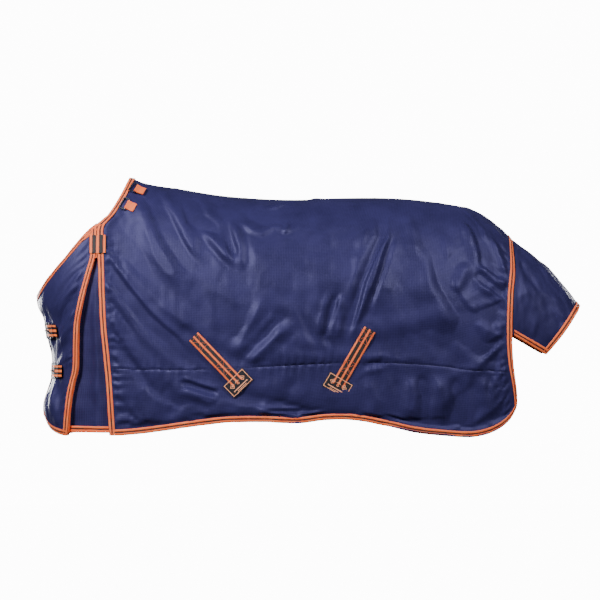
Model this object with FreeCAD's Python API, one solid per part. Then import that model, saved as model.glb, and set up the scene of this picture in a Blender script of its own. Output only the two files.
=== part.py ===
"""Turnout rug for a horse: padded navy body, front panels with shoulder gussets, tail flap,
bound edges, cross surcingles, chest straps and their metal hardware.

Frame: millimetres, +Z up. +X runs from the horse's neck to its tail, -Y is the near (left)
side. The origin is on the centreline, on the lining's underside, at the withers' neck edge.
"""
import FreeCAD, Part
import math
import os

V = FreeCAD.Vector

# ---------------------------------------------------------------- driving dimensions
LENGTH = 1460.0        # neck edge at the withers to the rear edge
DROP = 976.0           # withers to the lowest point of the hem
BARREL_HALF = 312.0    # half the width over the barrel
WIDEST = 0.55          # depth share at which a section is widest
TUCK = 0.06            # how far the hem turns in, as a share of the half width

SHELL_T = 1.0          # coated outer fabric
FILL_T = 8.0           # polyester filling
LINING_T = 0.8         # nylon lining
GAP = 0.6              # clearance between soft layers
TAPE_GAP = 0.8         # clearance between the binding and the edge it covers
PIECE_GAP = 0.35       # clearance between a small piece and its seat
SEAM_GAP = 0.6         # clearance between panels that are sewn edge to edge

TAPE_W = 22.0          # visible width of the edge binding
TAPE_T = 1.0           # thickness of the edge binding
WEB_W = 50.0           # surcingle webbing, width
WEB_T = 2.0            # surcingle webbing, thickness
LABEL_W = 101.0        # patch across the surcingle
LABEL_H = 62.0         # patch along the surcingle
LABEL_T = 1.2
ANCHOR_LEN = 238.0     # outer surcingle webbing, top end to the middle of its patch

SLIT_TOP = 0.290       # depth share where the shoulder slit starts
GUSSET_DEPTH = 13.5    # how far the gusset lies behind the outer skin
GUSSET_EASE = 1.6      # how much further it stands off the front panel, which moves
GUSSET_T = 1.2
GUSSET_FOLD = 12.0     # depth of the gusset's pleat
GUSSET_LAP = 22.0      # how far the gusset reaches under each edge
FRONT_GAP = 3.0        # half the gap between the front panels on the chest

FLAP_OUT = 250.0       # tail flap, rear edge to tip, along X
FLAP_T = 1.0
FLAP_GAP = 1.5         # between the rear binding and the flap, which lifts
FLAP_TIP = 0.498       # depth share of the flap's tip
FLAP_ROOT = 0.602      # depth share where the flap's sides leave the rear edge
FLAP_CORNER = 0.686    # depth share of the flap's lower corners
FLAP_HALF = 150.0      # half width of the flap at its outer edge

RING_W = 50.0          # rectangular ring, outside width
RING_H = 26.0          # rectangular ring, outside height
RING_D = 4.0           # wire of a ring
RING_TAB = 36.0        # webbing width in a ring
RING_TAB_T = 1.6       # webbing round a ring
RING_TAB_LEN = 34.0
NECK_RINGS = {"upper": 0.045, "lower": 0.108}      # depth shares of the neck rings
LEG_RING_X = 0.90      # position share of the leg strap rings, inside the rear hem
LEG_RING_UP = 95.0     # leg strap rings above the hem
LEG_RING_TAB_RISE = 0.9

TAB_LEVEL = 0.262      # depth share of the shoulder tab's middle
TAB_W = 64.0
TAB_H = 70.0
TAB_EASE = 1.4         # how much further the flat tab stands off the curved shoulder

# outer surcingle webbing: x of the top end, its depth share, and its lean in degrees
SURCINGLES = {"front": (252.0, 0.617, 46.0), "rear": (908.0, 0.590, -60.0)}
CLIP_T = 2.5

BUCKLE_W = 62.0        # chest buckle across the strap
BUCKLE_L = 42.0        # chest buckle along the strap
BUCKLE_T = 3.0
BUCKLE_BAR = 6.0
CHEST_W = 45.0         # chest webbing
CHEST_T = 1.6
CHEST_TAB_LEN = 46.0
CHEST_SEAT = 0.5       # buckles stand this much further off, over the chest's double curve
TONGUE_W = 5.0
CHEST_LEVELS = {"upper": 0.594, "lower": 0.750}    # depth shares of the chest straps
STRAP_TURNS = (49.0, 116.0)     # chest strap from end to sewn end, degrees round the chest
BUCKLE_TURN = 63.0     # the hinge bar of a buckle, degrees round the chest

SLIDER_T = 3.0
SLIDER_L = 34.0
SLIDER_ROOM = 0.8      # clearance between a slider and its webbing
BELLY_DROP = 0.892     # depth share of the surcingles at the middle
BELLY_STEP = 7.0       # how far the rear surcingle passes above the front one

TOTAL_T = SHELL_T + FILL_T + LINING_T + 2 * GAP
SIDES = {"left": -1, "right": 1}

# ---------------------------------------------------------------- outlines
# Lines are (position share of LENGTH, depth share of DROP), or the other way round.
TOP_LINE = [(-0.10, 0.002), (0.0, 0.0), (0.06, 0.019), (0.13, 0.035), (0.24, 0.061), (0.35, 0.074),
            (0.45, 0.077), (0.53, 0.071), (0.66, 0.070), (0.74, 0.077), (0.83, 0.094),
            (0.89, 0.113), (0.93, 0.143), (0.97, 0.193), (1.0, 0.250)]
HEM_LINE = [(-0.17, 0.999), (-0.08, 0.998), (0.02, 0.991), (0.19, 0.956), (0.26, 0.944),
            (0.35, 0.942), (0.44, 0.946), (0.51, 0.934), (0.58, 0.934), (0.66, 0.955),
            (0.74, 0.982), (0.83, 0.997), (0.888, 1.0), (0.932, 0.986), (0.968, 0.957),
            (0.99, 0.922), (1.003, 0.883)]
SEAM_LINE = [(-0.08, 0.739), (0.19, 0.735), (0.35, 0.722), (0.6, 0.706), (0.77, 0.715),
             (0.89, 0.738), (1.0, 0.756)]
WIDTH_LINE = [(-0.10, 0.66), (0.0, 0.72), (0.14, 0.84), (0.34, 0.97), (0.55, 1.0), (0.75, 0.965),
              (0.89, 0.87), (0.96, 0.77), (1.003, 0.70)]
BODY_FRONT = [(0.0, 0.0), (0.07, -0.0205), (0.15, -0.053), (0.19, -0.076), (0.24, -0.078),
              (0.30, -0.0765), (0.475, -0.0726), (0.58, -0.069), (0.68, -0.062), (0.78, -0.056),
              (0.89, -0.0507), (1.0, -0.046)]
BODY_REAR = [(0.24, 0.995), (0.36, 0.998), (0.46, 0.992), (0.60, 0.989), (0.72, 0.992),
             (0.81, 1.0), (0.87, 1.003), (0.92, 1.003)]
PANEL_REAR = [(0.18, -0.0817), (0.24, -0.0817), (0.30, -0.0834), (0.38, -0.098), (0.475, -0.1145),
              (0.56, -0.126), (0.65, -0.129), (0.74, -0.131), (0.80, -0.141), (0.87, -0.149),
              (1.0, -0.158)]
CHEST_LINE = [(0.18, -0.225), (0.35, -0.238), (0.46, -0.2415), (0.50, -0.238), (0.55, -0.223),
              (0.63, -0.212), (0.69, -0.2025), (0.77, -0.2025), (0.82, -0.212), (0.88, -0.224),
              (0.93, -0.222), (1.0, -0.208)]
NECK_LINE = [(0.17, -0.070), (0.184, -0.087), (0.23, -0.1185), (0.31, -0.163), (0.395, -0.2116),
             (0.46, -0.2415), (0.50, -0.262)]
PANEL_HEM = [(-0.2415, 0.90), (-0.222, 0.925), (-0.210, 0.960), (-0.197, 0.981), (-0.17, 0.997),
             (-0.14, 1.0), (-0.08, 1.0)]


def curve(points):
    """A smooth line through points, as a function. Past its ends it runs on straight."""
    xs = [p[0] for p in points]
    ys = [p[1] for p in points]
    last = len(points) - 1
    slopes = []
    for i in range(last + 1):
        lo = max(i - 1, 0)
        hi = min(i + 1, last)
        slopes.append((ys[hi] - ys[lo]) / (xs[hi] - xs[lo]))

    def value(x):
        if x <= xs[0]:
            return ys[0] + slopes[0] * (x - xs[0])
        if x >= xs[last]:
            return ys[last] + slopes[last] * (x - xs[last])
        i = max(k for k in range(last) if xs[k] <= x)
        span = xs[i + 1] - xs[i]
        t = (x - xs[i]) / span
        rise = t * t * (3 - 2 * t)
        start = t * (1 - t) * (1 - t) * span * slopes[i]
        finish = t * t * (t - 1) * span * slopes[i + 1]
        return ys[i] + (ys[i + 1] - ys[i]) * rise + start + finish

    return value


top_line = curve(TOP_LINE)
hem_line = curve(HEM_LINE)
seam_line = curve(SEAM_LINE)
width_line = curve(WIDTH_LINE)
body_front = curve(BODY_FRONT)
body_rear = curve(BODY_REAR)
panel_rear = curve(PANEL_REAR)
chest_line = curve(CHEST_LINE)
neck_line = curve(NECK_LINE)
panel_hem = curve(PANEL_HEM)


def depth(z):
    """Depth share of a height: 0 at the withers, 1 at the lowest hem."""
    return (TOTAL_T - z) / DROP


def height(share):
    return TOTAL_T - share * DROP


# ---------------------------------------------------------------- skins
TURN = 0.6             # share of a half section above its widest level


def half_section(x, v):
    """Half width and height of the outer skin at x; v is 0 on the spine and 1 at the hem."""
    share = x / LENGTH
    top = top_line(share)
    fall = hem_line(share) - top
    half = BARREL_HALF * width_line(share)
    if v < TURN:
        angle = v / TURN * math.pi / 2
        deep = WIDEST * (1 - math.cos(angle))
        wide = math.sin(angle)
    else:
        past = (v - TURN) / (1 - TURN)
        deep = WIDEST + (1 - WIDEST) * past
        wide = 1 - TUCK * past * past
    return half * wide, height(top + deep * fall)


def half_width(x, z):
    """Half width of the outer skin at x and height z."""
    share = x / LENGTH
    top = top_line(share)
    deep = (depth(z) - top) / (hem_line(share) - top)
    half = BARREL_HALF * width_line(share)
    if deep < WIDEST:
        left = 1 - max(deep, 0.0) / WIDEST
        return half * math.sqrt(max(1 - left * left, 0.0))
    past = (deep - WIDEST) / (1 - WIDEST)
    return half * (1 - TUCK * past * past)


def section_place(x, z):
    """The v of the body's skin at x and height z."""
    share = x / LENGTH
    top = top_line(share)
    deep = (depth(z) - top) / (hem_line(share) - top)
    if deep < WIDEST:
        return TURN * math.acos(1 - deep / WIDEST) / (math.pi / 2)
    return TURN + (1 - TURN) * (deep - WIDEST) / (1 - WIDEST)


def edge_x(line, v, start):
    """X at which the section line v meets an edge given as position against depth."""
    x = start
    for _ in range(12):
        x = LENGTH * line(depth(half_section(x, v)[1]))
    return x


EDGES = {}


def body_edges(v):
    key = round(v, 9)
    if key not in EDGES:
        EDGES[key] = (edge_x(body_front, v, 0.0), edge_x(body_rear, v, LENGTH))
    return EDGES[key]


def body_skin(u, v):
    """Outer skin of the body: u 0 front edge, 1 rear edge; v -1 left hem, 0 spine, 1 right hem."""
    x_front, x_rear = body_edges(abs(v))
    x = x_front + u * (x_rear - x_front)
    y, z = half_section(x, abs(v))
    return V(x, math.copysign(y, v), z)


def seam_place(x):
    return section_place(x, height(seam_line(x / LENGTH)))


def back_skin(u, t):
    """Body above the skirt seams: t -1 left seam, 0 spine, 1 right seam."""
    x = body_skin(u, 0.7).x
    return body_skin(u, t * (seam_place(x) - SEAM_GAP / DROP / 2))


def skirt_skin(side):
    """Body below a skirt seam: t 0 at the seam, 1 at the hem."""
    def skin(u, t):
        start = seam_place(body_skin(u, 0.7).x) + SEAM_GAP / DROP
        return body_skin(u, side * (start + (1 - start) * t))
    return skin


def body_point(x, z, side):
    """A point of the body's outer skin and its outward normal."""
    step = 2.0
    at = V(x, side * half_width(x, z), z)
    along = V(x + step, side * half_width(x + step, z), z) - at
    down = V(x, side * half_width(x, z - step), z - step) - at
    out = along.cross(down)
    out.normalize()
    if out.y * side < 0:
        out = out * -1
    return at, out


def slit_x(share):
    """X of the body's edge along the slit, run on straight up to the neckline."""
    return LENGTH * body_front(max(share, SLIT_TOP))


def wrap_point(turn, z, side):
    """Outer skin round the chest at a height: turn 0 beside the body, 90 degrees in front."""
    share = depth(z)
    back = slit_x(share)
    front = LENGTH * chest_line(share)
    return V(back - (back - front) * math.sin(turn), side * half_width(back, z) * math.cos(turn), z)


def solve(function, low, high):
    """The zero of a rising or falling function between two values."""
    rising = function(high) > function(low)
    for _ in range(44):
        middle = (low + high) / 2
        if (function(middle) > 0) == rising:
            high = middle
        else:
            low = middle
    return (low + high) / 2


def panel_point(s, z, side):
    """Outer skin of a front panel at a height: s 0 at the slit, 1 at the front edge."""
    share = depth(z)
    back = slit_x(share)
    start = math.asin((back - LENGTH * panel_rear(share)) / (back - LENGTH * chest_line(share)))
    end = math.pi / 2 - FRONT_GAP / (BARREL_HALF * width_line(0.0))
    return wrap_point(start + (end - start) * s, z, side)


RIMS = {}


def panel_rims(s):
    """Heights of the neckline and of the hem of a front panel at s."""
    key = round(s, 9)
    if key not in RIMS:
        neck = solve(lambda z: panel_point(s, z, 1).x - LENGTH * neck_line(depth(z)),
                     height(0.47), height(0.16))
        hem = height(0.98)
        for _ in range(14):
            hem = height(panel_hem(panel_point(s, hem, 1).x / LENGTH))
        RIMS[key] = (neck, hem)
    return RIMS[key]


def panel_skin(side):
    """A front panel: s 0 at the slit, 1 on the chest; t 0 at the neckline, 1 at the hem."""
    def skin(s, t):
        neck, hem = panel_rims(s)
        return panel_point(s, neck + (hem - neck) * t, side)
    return skin


def gusset_skin(side):
    """The gusset behind a slit: s 0 under the front panel, 1 under the body."""
    def skin(s, t):
        z = height(SLIT_TOP + 0.02 + (0.985 - SLIT_TOP - 0.02) * t)
        share = depth(z)
        front = LENGTH * panel_rear(share) - GUSSET_LAP
        rear = LENGTH * body_front(share) + GUSSET_LAP
        x = front + (rear - front) * s
        fold = GUSSET_FOLD * math.sin(math.pi * min(s / 0.7, 1.0)) ** 2 * t
        settle = min(max((s - 0.65) / 0.3, 0.0), 1.0)
        ease = GUSSET_EASE * (1 - settle * settle * (3 - 2 * settle))
        back = slit_x(share)
        wrapped = max((back - x) / (back - LENGTH * chest_line(share)), 0.0)
        half = half_width(max(x, back), z) * math.sqrt(1 - wrapped * wrapped)
        return V(x, side * (half - fold - ease), z)
    return skin


def flap_skin(u, v):
    """Tail flap: u 0 at the rear edge, 1 at its outer edge; v -1 left edge, 0 ridge, 1 right."""
    a = abs(v)
    root_v = section_place(LENGTH, height(FLAP_ROOT))
    root = body_skin(1.0, root_v * a)
    turn = a * math.pi / 2
    drop = FLAP_CORNER - FLAP_TIP
    swell = 1 - 0.55 * a * a
    out_x = LENGTH + FLAP_OUT * swell
    out_z = height(FLAP_TIP + drop * (1 - math.cos(turn)))
    out_y = FLAP_HALF * math.sin(turn)
    x = root.x + TAPE_GAP + TAPE_T + FLAP_GAP + (out_x - root.x) * u
    lift = 22.0 * math.sin(math.pi * u) * (1 - a * a)
    y = root.y + (out_y - root.y) * u
    z = root.z + (out_z - root.z) * u + lift
    return V(x, math.copysign(y, v), z)


# ---------------------------------------------------------------- solids from skins
def normal(skin, u, v):
    """Unit normal of a skin, by small steps."""
    h = 1e-3
    along = skin(u + h, v) - skin(u - h, v)
    across = skin(u, v + h) - skin(u, v - h)
    out = along.cross(across)
    out.normalize()
    return out


def closed(faces):
    """A solid from faces that share their edges."""
    shell = Part.makeShell(faces)
    shell.sewShape()
    solid = Part.makeSolid(shell)
    if solid.Volume < 0:
        solid.reverse()
    return solid


def mean_steps(lines):
    """Distances along lines of equal count, averaged over the lines."""
    steps = [0.0]
    for i in range(1, len(lines[0])):
        total = sum((line[i] - line[i - 1]).Length for line in lines)
        steps.append(steps[-1] + total / len(lines))
    return steps


def through(points, steps):
    line = Part.BSplineCurve()
    line.interpolate(Points=list(points), Parameters=steps)
    return line


def surface(rows):
    """A smooth surface through a grid of points: first along the rows, then across them."""
    steps = mean_steps(rows)
    firsts = [through(row, steps) for row in rows]
    steps = mean_steps(list(zip(*rows)))
    seconds = [through(column, steps) for column in zip(*[line.getPoles() for line in firsts])]
    poles = [list(row) for row in zip(*[line.getPoles() for line in seconds])]
    along = seconds[0]
    across = firsts[0]
    made = Part.BSplineSurface()
    made.buildFromPolesMultsKnots(
        poles, along.getMultiplicities(), across.getMultiplicities(),
        along.getKnots(), across.getKnots(), False, False, along.Degree, across.Degree)
    return made


def between(low, high, count):
    return [low + (high - low) * i / (count - 1) for i in range(count)]


def slab(skin, inner, outer, us, vs, outward=1):
    """The solid between two offsets of a skin, over the given parameters."""
    def sheet(offset):
        rows = []
        for u in us:
            row = []
            for v in vs:
                row.append(skin(u, v) + normal(skin, u, v) * (offset * outward))
            rows.append(row)
        return surface(rows)

    low = sheet(inner)
    high = sheet(outer)
    faces = [low.toShape(), high.toShape()]
    for iso, ends in (("uIso", (0, 1)), ("vIso", (2, 3))):
        for end in ends:
            edge_a = getattr(low, iso)(low.bounds()[end]).toShape()
            edge_b = getattr(high, iso)(high.bounds()[end]).toShape()
            faces.append(Part.makeRuledSurface(edge_a, edge_b))
    return closed(faces)


def ribbon(rows):
    """A solid with a polygon section: each row holds the section's corners at one station."""
    count = len(rows[0])
    steps = mean_steps(list(zip(*rows)))
    edges = []
    for i in range(count):
        edges.append(through([row[i] for row in rows], steps).toShape())
    faces = []
    for i in range(count):
        faces.append(Part.makeRuledSurface(edges[i], edges[(i + 1) % count]))
    for row in (rows[0], rows[-1]):
        ring = Part.makePolygon(row + [row[0]])
        try:
            faces.append(Part.Face(ring))
        except Part.OCCError:
            faces.append(Part.makeFilledFace(ring.Edges))
    return closed(faces)


def tape(skin, edge, inward, thick, count, outward=1, base=0.0):
    """A folded binding over an edge: edge(k) gives u, v for k in 0..1; inward is the
    direction in u, v that leads into the cloth; base is the offset of the cloth's outer face."""
    rows = []
    for k in between(0.0, 1.0, count):
        u, v = edge(k)
        h = 1e-3
        speed = (skin(u + inward[0] * h, v + inward[1] * h) - skin(u, v)).Length / h
        far_u = u + inward[0] * TAPE_W / speed
        far_v = v + inward[1] * TAPE_W / speed
        rim = skin(u, v)
        far = skin(far_u, far_v)
        up = normal(skin, u, v) * outward
        far_up = normal(skin, far_u, far_v) * outward
        past = rim - far
        past.normalize()
        near = TAPE_GAP
        high = TAPE_GAP + TAPE_T
        inner = thick - base
        rows.append([
            far + far_up * (base + near),
            far + far_up * (base + high),
            rim + up * (base + high) + past * high,
            rim - up * (inner + high) + past * high,
            far - far_up * (inner + high),
            far - far_up * (inner + near),
            rim - up * (inner + near) + past * near,
            rim + up * (base + near) + past * near,
        ])
    return ribbon(rows)


def placed(shape, origin, along, out):
    """Moves a shape made in local axes (x along, z out) to its place."""
    along = along - out * along.dot(out)
    along.normalize()
    side = out.cross(along)
    matrix = FreeCAD.Matrix(
        along.x, side.x, out.x, origin.x,
        along.y, side.y, out.y, origin.y,
        along.z, side.z, out.z, origin.z,
        0, 0, 0, 1)
    moved = shape.copy()
    moved.transformShape(matrix, True)
    return moved


def block(x0, x1, y0, y1, z0, z1):
    return Part.makeBox(x1 - x0, y1 - y0, z1 - z0, V(x0, y0, z0))


def prism(corners, half, axis="y"):
    """A polygon in the local x, z plane, drawn out to both sides along y."""
    points = [V(x, -half, z) for x, z in corners]
    face = Part.Face(Part.makePolygon(points + [points[0]]))
    return face.extrude(V(0, 2 * half, 0))


PARTS = {}


def add(name, solids):
    solids = solids if isinstance(solids, list) else [solids]
    PARTS[name] = solids[0] if len(solids) == 1 else Part.makeCompound(solids)


# ---------------------------------------------------------------- body cloth
LENGTHWISE = [0.5 * k + 0.25 * (1 - math.cos(math.pi * k)) for k in between(0.0, 1.0, 57)]
FILL_IN = -(SHELL_T + GAP + FILL_T)
FILL_OUT = -(SHELL_T + GAP)
LINING_IN = -TOTAL_T
LINING_OUT = -(TOTAL_T - LINING_T)


def make_body():
    add("outer_back_panel", slab(back_skin, -SHELL_T, 0.0, LENGTHWISE, between(-1.0, 1.0, 49)))
    spine_gap = 0.002
    for name, side in SIDES.items():
        skirt = skirt_skin(side)
        ways = between(0.0, 1.0, 11)
        add("outer_skirt_" + name, slab(skirt, -SHELL_T, 0.0, LENGTHWISE, ways, side))
        add("filling_skirt_" + name, slab(skirt, FILL_IN, FILL_OUT, LENGTHWISE, ways, side))
        halves = [side * t for t in between(spine_gap, 1.0, 25)]
        add("filling_back_" + name, slab(back_skin, FILL_IN, FILL_OUT, LENGTHWISE, halves))
        halves = [side * t for t in between(spine_gap, 1.0, 37)]
        add("lining_body_" + name, slab(body_skin, LINING_IN, LINING_OUT, LENGTHWISE, halves))


def make_body_bindings():
    mouth = section_place(LENGTH * body_front(0.19), height(0.184))
    add("neck_binding_back", tape(
        body_skin, lambda k: (0.0, mouth * 0.93 * (2 * k - 1)), (1, 0), TOTAL_T, 31))
    rear_end = 0.985
    add("rear_binding", tape(
        body_skin, lambda k: (1.0, rear_end * (2 * k - 1)), (-1, 0), TOTAL_T, 61))
    margin = (TAPE_W + 3.0) / LENGTH
    for name, side in SIDES.items():
        add("hem_binding_" + name, tape(
            body_skin, lambda k: (margin + (1 - 2 * margin) * k, side), (0, -side), TOTAL_T, 61))
        add("slit_binding_rear_" + name, tape(
            body_skin, lambda k: (0.0, side * (mouth + (1 - mouth) * k)), (1, 0), TOTAL_T, 61))


# ---------------------------------------------------------------- front panels
def make_front_panels():
    rows = between(0.0, 1.0, 33)
    for name, side in SIDES.items():
        skin = panel_skin(side)
        out = -side
        add("outer_front_" + name, slab(skin, -SHELL_T, 0.0, rows, rows, out))
        add("filling_front_" + name, slab(skin, FILL_IN, FILL_OUT, rows, rows, out))
        add("lining_front_" + name, slab(skin, LINING_IN, LINING_OUT, rows, rows, out))
        pieces = [
            tape(skin, lambda k: (0.10 + 0.90 * k, 0.0), (0, 1), TOTAL_T, 33, out),
            tape(skin, lambda k: (1.0, 0.075 + 0.85 * k), (-1, 0), TOTAL_T, 33, out),
            tape(skin, lambda k: (0.17 + 0.83 * k, 1.0), (0, -1), TOTAL_T, 33, out),
        ]
        add("front_bindings_" + name, pieces)
        add("slit_binding_front_" + name, tape(
            skin, lambda k: (0.0, k), (1, 0), TOTAL_T, 33, out))


def make_gussets():
    rows = between(0.0, 1.0, 25)
    hems = []
    for name, side in SIDES.items():
        skin = gusset_skin(side)
        add("gusset_" + name, slab(
            skin, -GUSSET_DEPTH - GUSSET_T, -GUSSET_DEPTH, rows, rows, side))
        hems.append(tape(skin, lambda k: (0.12 + 0.74 * k, 1.0), (0, -1), GUSSET_T, 33, side,
                         -GUSSET_DEPTH))
    add("gusset_hem_bindings", hems)


def make_tail_flap():
    us = between(0.0, 1.0, 13)
    vs = between(-1.0, 1.0, 31)
    add("tail_flap_shell", slab(flap_skin, -FLAP_T, 0.0, us, vs))
    thick = FLAP_T + GAP + LINING_T
    add("tail_flap_lining", slab(flap_skin, -thick, -FLAP_T - GAP, us, vs))
    end = 0.79
    pieces = [tape(flap_skin, lambda k: (1.0, 2 * k - 1), (-1, 0), thick, 41)]
    for side in SIDES.values():
        pieces.append(tape(
            flap_skin, lambda k: (0.05 + (end - 0.05) * k, side), (0, -side), thick, 15))
    add("tail_flap_bindings", pieces)


# ---------------------------------------------------------------- rings in webbing tabs
BAR_R = RING_D / 2
LOOP_R = BAR_R + PIECE_GAP + RING_TAB_T     # outside radius of the webbing round a bar
LOOP_Z = PIECE_GAP + LOOP_R                 # height of a ring's bar over its seat


def loop_tab(length, half, tip_height, hole_r, slot=0.0):
    """Webbing folded round a bar: local x runs along it, the bar is at x 0."""
    back = [(0.0, PIECE_GAP), (length, PIECE_GAP), (length, tip_height), (0.4 * length, tip_height),
            (0.0, LOOP_Z + LOOP_R)]
    body = prism(back, half).fuse(
        Part.makeCylinder(LOOP_R, 2 * half, V(0, -half, LOOP_Z), V(0, 1, 0)))
    body = body.cut(Part.makeCylinder(hole_r, 2 * half + 2, V(0, -half - 1, LOOP_Z), V(0, 1, 0)))
    if slot:
        reach = LOOP_R + 2.0
        body = body.cut(block(-reach, reach, -slot / 2, slot / 2, -1.0, 2 * LOOP_Z + 2))
    return body.removeSplitter()


def flat_ring():
    """A rectangular ring: its bar at x 0 carries the webbing, the rest reaches to -x."""
    reach = RING_H - RING_D
    ring = block(-reach - BAR_R, BAR_R, -RING_W / 2, RING_W / 2, LOOP_Z - BAR_R, LOOP_Z + BAR_R)
    corners = [e for e in ring.Edges if abs(e.tangentAt(e.FirstParameter).z) > 0.9]
    ring = ring.makeFillet(RING_D * 1.2, corners)
    inner = RING_W / 2 - RING_D
    ring = ring.cut(block(-reach + BAR_R, 2 * RING_D, -inner, inner, LOOP_Z - RING_D, LOOP_Z + RING_D))
    bar = Part.makeCylinder(BAR_R, 2 * inner + RING_D, V(0, -inner - BAR_R, LOOP_Z), V(0, 1, 0))
    return ring.fuse(bar).removeSplitter()


def neck_ring_seats():
    """Origin, direction towards the tab and outward normal of each neck ring."""
    seats = {}
    for name, side in SIDES.items():
        for level, share in NECK_RINGS.items():
            z = height(share)
            x = LENGTH * body_front(share) + TAPE_W + RING_H - RING_D + 2.0
            at, out = body_point(x, z, side)
            along = V(0.875, 0, -0.484)
            seats[name + "_" + level] = (at, along, out)
    return seats


def leg_ring_seats():
    seats = {}
    for name, side in SIDES.items():
        x = LENGTH * LEG_RING_X
        at, out = body_point(x, height(hem_line(LEG_RING_X)) + LEG_RING_UP, side)
        seat = at - out * (TOTAL_T + LEG_RING_TAB_RISE)
        seats[name] = (seat, V(0, 0, 1), out * -1)
    return seats


def make_rings():
    for group, seats in (("neck", neck_ring_seats()), ("leg", leg_ring_seats())):
        tabs = []
        for name, (at, along, out) in seats.items():
            tab = loop_tab(RING_TAB_LEN, RING_TAB / 2, 3.4, BAR_R + PIECE_GAP)
            tabs.append(placed(tab, at, along, out))
            add(group + "_ring_" + name, placed(flat_ring(), at, along, out))
        add(group + "_ring_tabs", tabs)


# ---------------------------------------------------------------- shoulder tabs
def make_shoulder_tabs():
    for name, side in SIDES.items():
        x = LENGTH * (body_front(TAB_LEVEL) + panel_rear(TAB_LEVEL)) / 2
        at, out = body_point(x, height(TAB_LEVEL), side)
        plate = block(-TAB_W / 2, TAB_W / 2, -TAB_H / 2, TAB_H / 2, 0.0, WEB_T)
        seat = at + out * (TAPE_GAP + TAPE_T + PIECE_GAP + TAB_EASE)
        add("shoulder_tab_" + name, placed(plate, seat, V(1, 0, 0), out))


# ---------------------------------------------------------------- surcingles
def side_patch(start, finish, half, side):
    """A flat strip on the body's skin between two (x, z) points, as a skin."""
    run = V(finish[0] - start[0], 0, finish[1] - start[1])
    run.normalize()

    def skin(s, t):
        offset = half * (2 * t - 1)
        x = start[0] + (finish[0] - start[0]) * s - run.z * offset
        z = start[1] + (finish[1] - start[1]) * s + run.x * offset
        return V(x, side * half_width(x, z), z)
    return skin


def facing(skin, side):
    return 1 if normal(skin, 0.5, 0.5).y * side > 0 else -1


def surcingle_line(which):
    """Top end of an outer surcingle and the middle of its patch, as (x, z)."""
    x, share, lean = SURCINGLES[which]
    angle = math.radians(abs(lean))
    way = 1 if lean > 0 else -1
    top = (x, height(share))
    foot = (x + way * ANCHOR_LEN * math.cos(angle), top[1] - ANCHOR_LEN * math.sin(angle))
    return top, foot


def belly_path(left, right, rise):
    """The line of an under-belly strap, from inside the left patch to inside the right one,
    and the wall's direction at both ends."""
    points = []
    walls = []
    for which, side in ((left, -1), (right, 1)):
        foot = surcingle_line(which)[1]
        rows = []
        for drop, off in ((0.0, 0.4), (16.0, 0.4), (32.0, 0.8), (48.0, 3.5), (62.0, 12.0)):
            z = foot[1] + 12.0 - drop
            at, out = body_point(foot[0], z, side)
            rows.append(at - out * (TOTAL_T + GAP + 0.5 * WEB_T + off))
        walls.append(out.cross(V(0, 0, 1)))
        points.append(rows)
    low = height(BELLY_DROP) + rise
    near = points[0][-1]
    far = points[1][-1]
    middle = []
    for share in (0.10, 0.22, 0.36, 0.5, 0.64, 0.78, 0.90):
        flat = near + (far - near) * share
        sag = 4 * share * (1 - share)
        middle.append(V(flat.x, flat.y, near.z + (low - near.z) * (0.25 + 0.75 * sag)))
    return points[0] + middle + points[1][::-1], walls


def path_line(points):
    line = Part.BSplineCurve()
    line.interpolate(points)
    return line


def path_frame(line, s, ends):
    """Point, direction, width direction and normal at a share of a strap's length. Its width
    lies along the wall at both ends and square to its run between them."""
    near, far, walls = ends
    at = line.parameterAtDistance(s * line.length(), line.FirstParameter)
    way = line.tangent(at)[0]
    across = (far - near).cross(V(0, 0, 1))
    across.normalize()
    wall = walls[0] if s < 0.5 else walls[1]
    if wall.dot(across) < 0:
        wall = wall * -1
    blend = min(max((min(s, 1 - s) - 0.08) / 0.14, 0.0), 1.0)
    blend = blend * blend * (3 - 2 * blend)
    wide = across * blend + wall * (1 - blend)
    wide = wide - way * wide.dot(way)
    wide.normalize()
    return line.value(at), way, wide, way.cross(wide)


def strap(line, start, finish, ends, width, thick, count):
    rows = []
    for s in between(start, finish, count):
        at, way, wide, up = path_frame(line, s, ends)
        side = wide * (width / 2)
        rise = up * (thick / 2)
        rows.append([at + side + rise, at - side + rise, at - side - rise, at + side - rise])
    return ribbon(rows)


CLIP_AT = 0.215        # share of a belly strap's length at the middle of its clip
CLIP_L = 44.0
SLIDER_AT = 0.33


def clip_pieces():
    """Slotted plate and T-hook, local x along the strap, z up."""
    slot = block(-4.0, 4.0, -17.0, 17.0, -5.0, 5.0)
    plate = block(-CLIP_L / 2, 12.0, -WEB_W / 2, WEB_W / 2, 0.0, CLIP_T).cut(slot)
    window = block(-CLIP_L / 2 + 5.0, -CLIP_L / 2 + 11.0, -20.0, 20.0, -5.0, 5.0)
    plate = plate.cut(window)
    low = -PIECE_GAP - CLIP_T
    hook = block(-9.0, CLIP_L / 2, -WEB_W / 2, WEB_W / 2, low, -PIECE_GAP)
    hook = hook.fuse(block(-3.0, 3.0, -7.0, 7.0, -PIECE_GAP - 0.5, CLIP_T + PIECE_GAP))
    hook = hook.fuse(block(-10.0, 10.0, -7.0, 7.0, CLIP_T + PIECE_GAP, 2 * CLIP_T + PIECE_GAP))
    hook = hook.cut(block(CLIP_L / 2 - 11.0, CLIP_L / 2 - 5.0, -20.0, 20.0, low - 5.0, 0.0))
    return plate, hook.removeSplitter()


def slider_piece():
    room = WEB_T / 2 + SLIDER_ROOM
    wall = SLIDER_T / 2
    side = WEB_W / 2 + SLIDER_ROOM
    body = block(-SLIDER_L / 2, SLIDER_L / 2, -side - wall, side + wall, -room - wall, room + wall)
    body = body.cut(block(-SLIDER_L, SLIDER_L, -side, side, -room, room))
    window = SLIDER_L / 2 - 6.0
    return body.cut(block(-window, window, -side + 5.0, side - 5.0, 0.0, room + 2 * wall))


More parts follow.
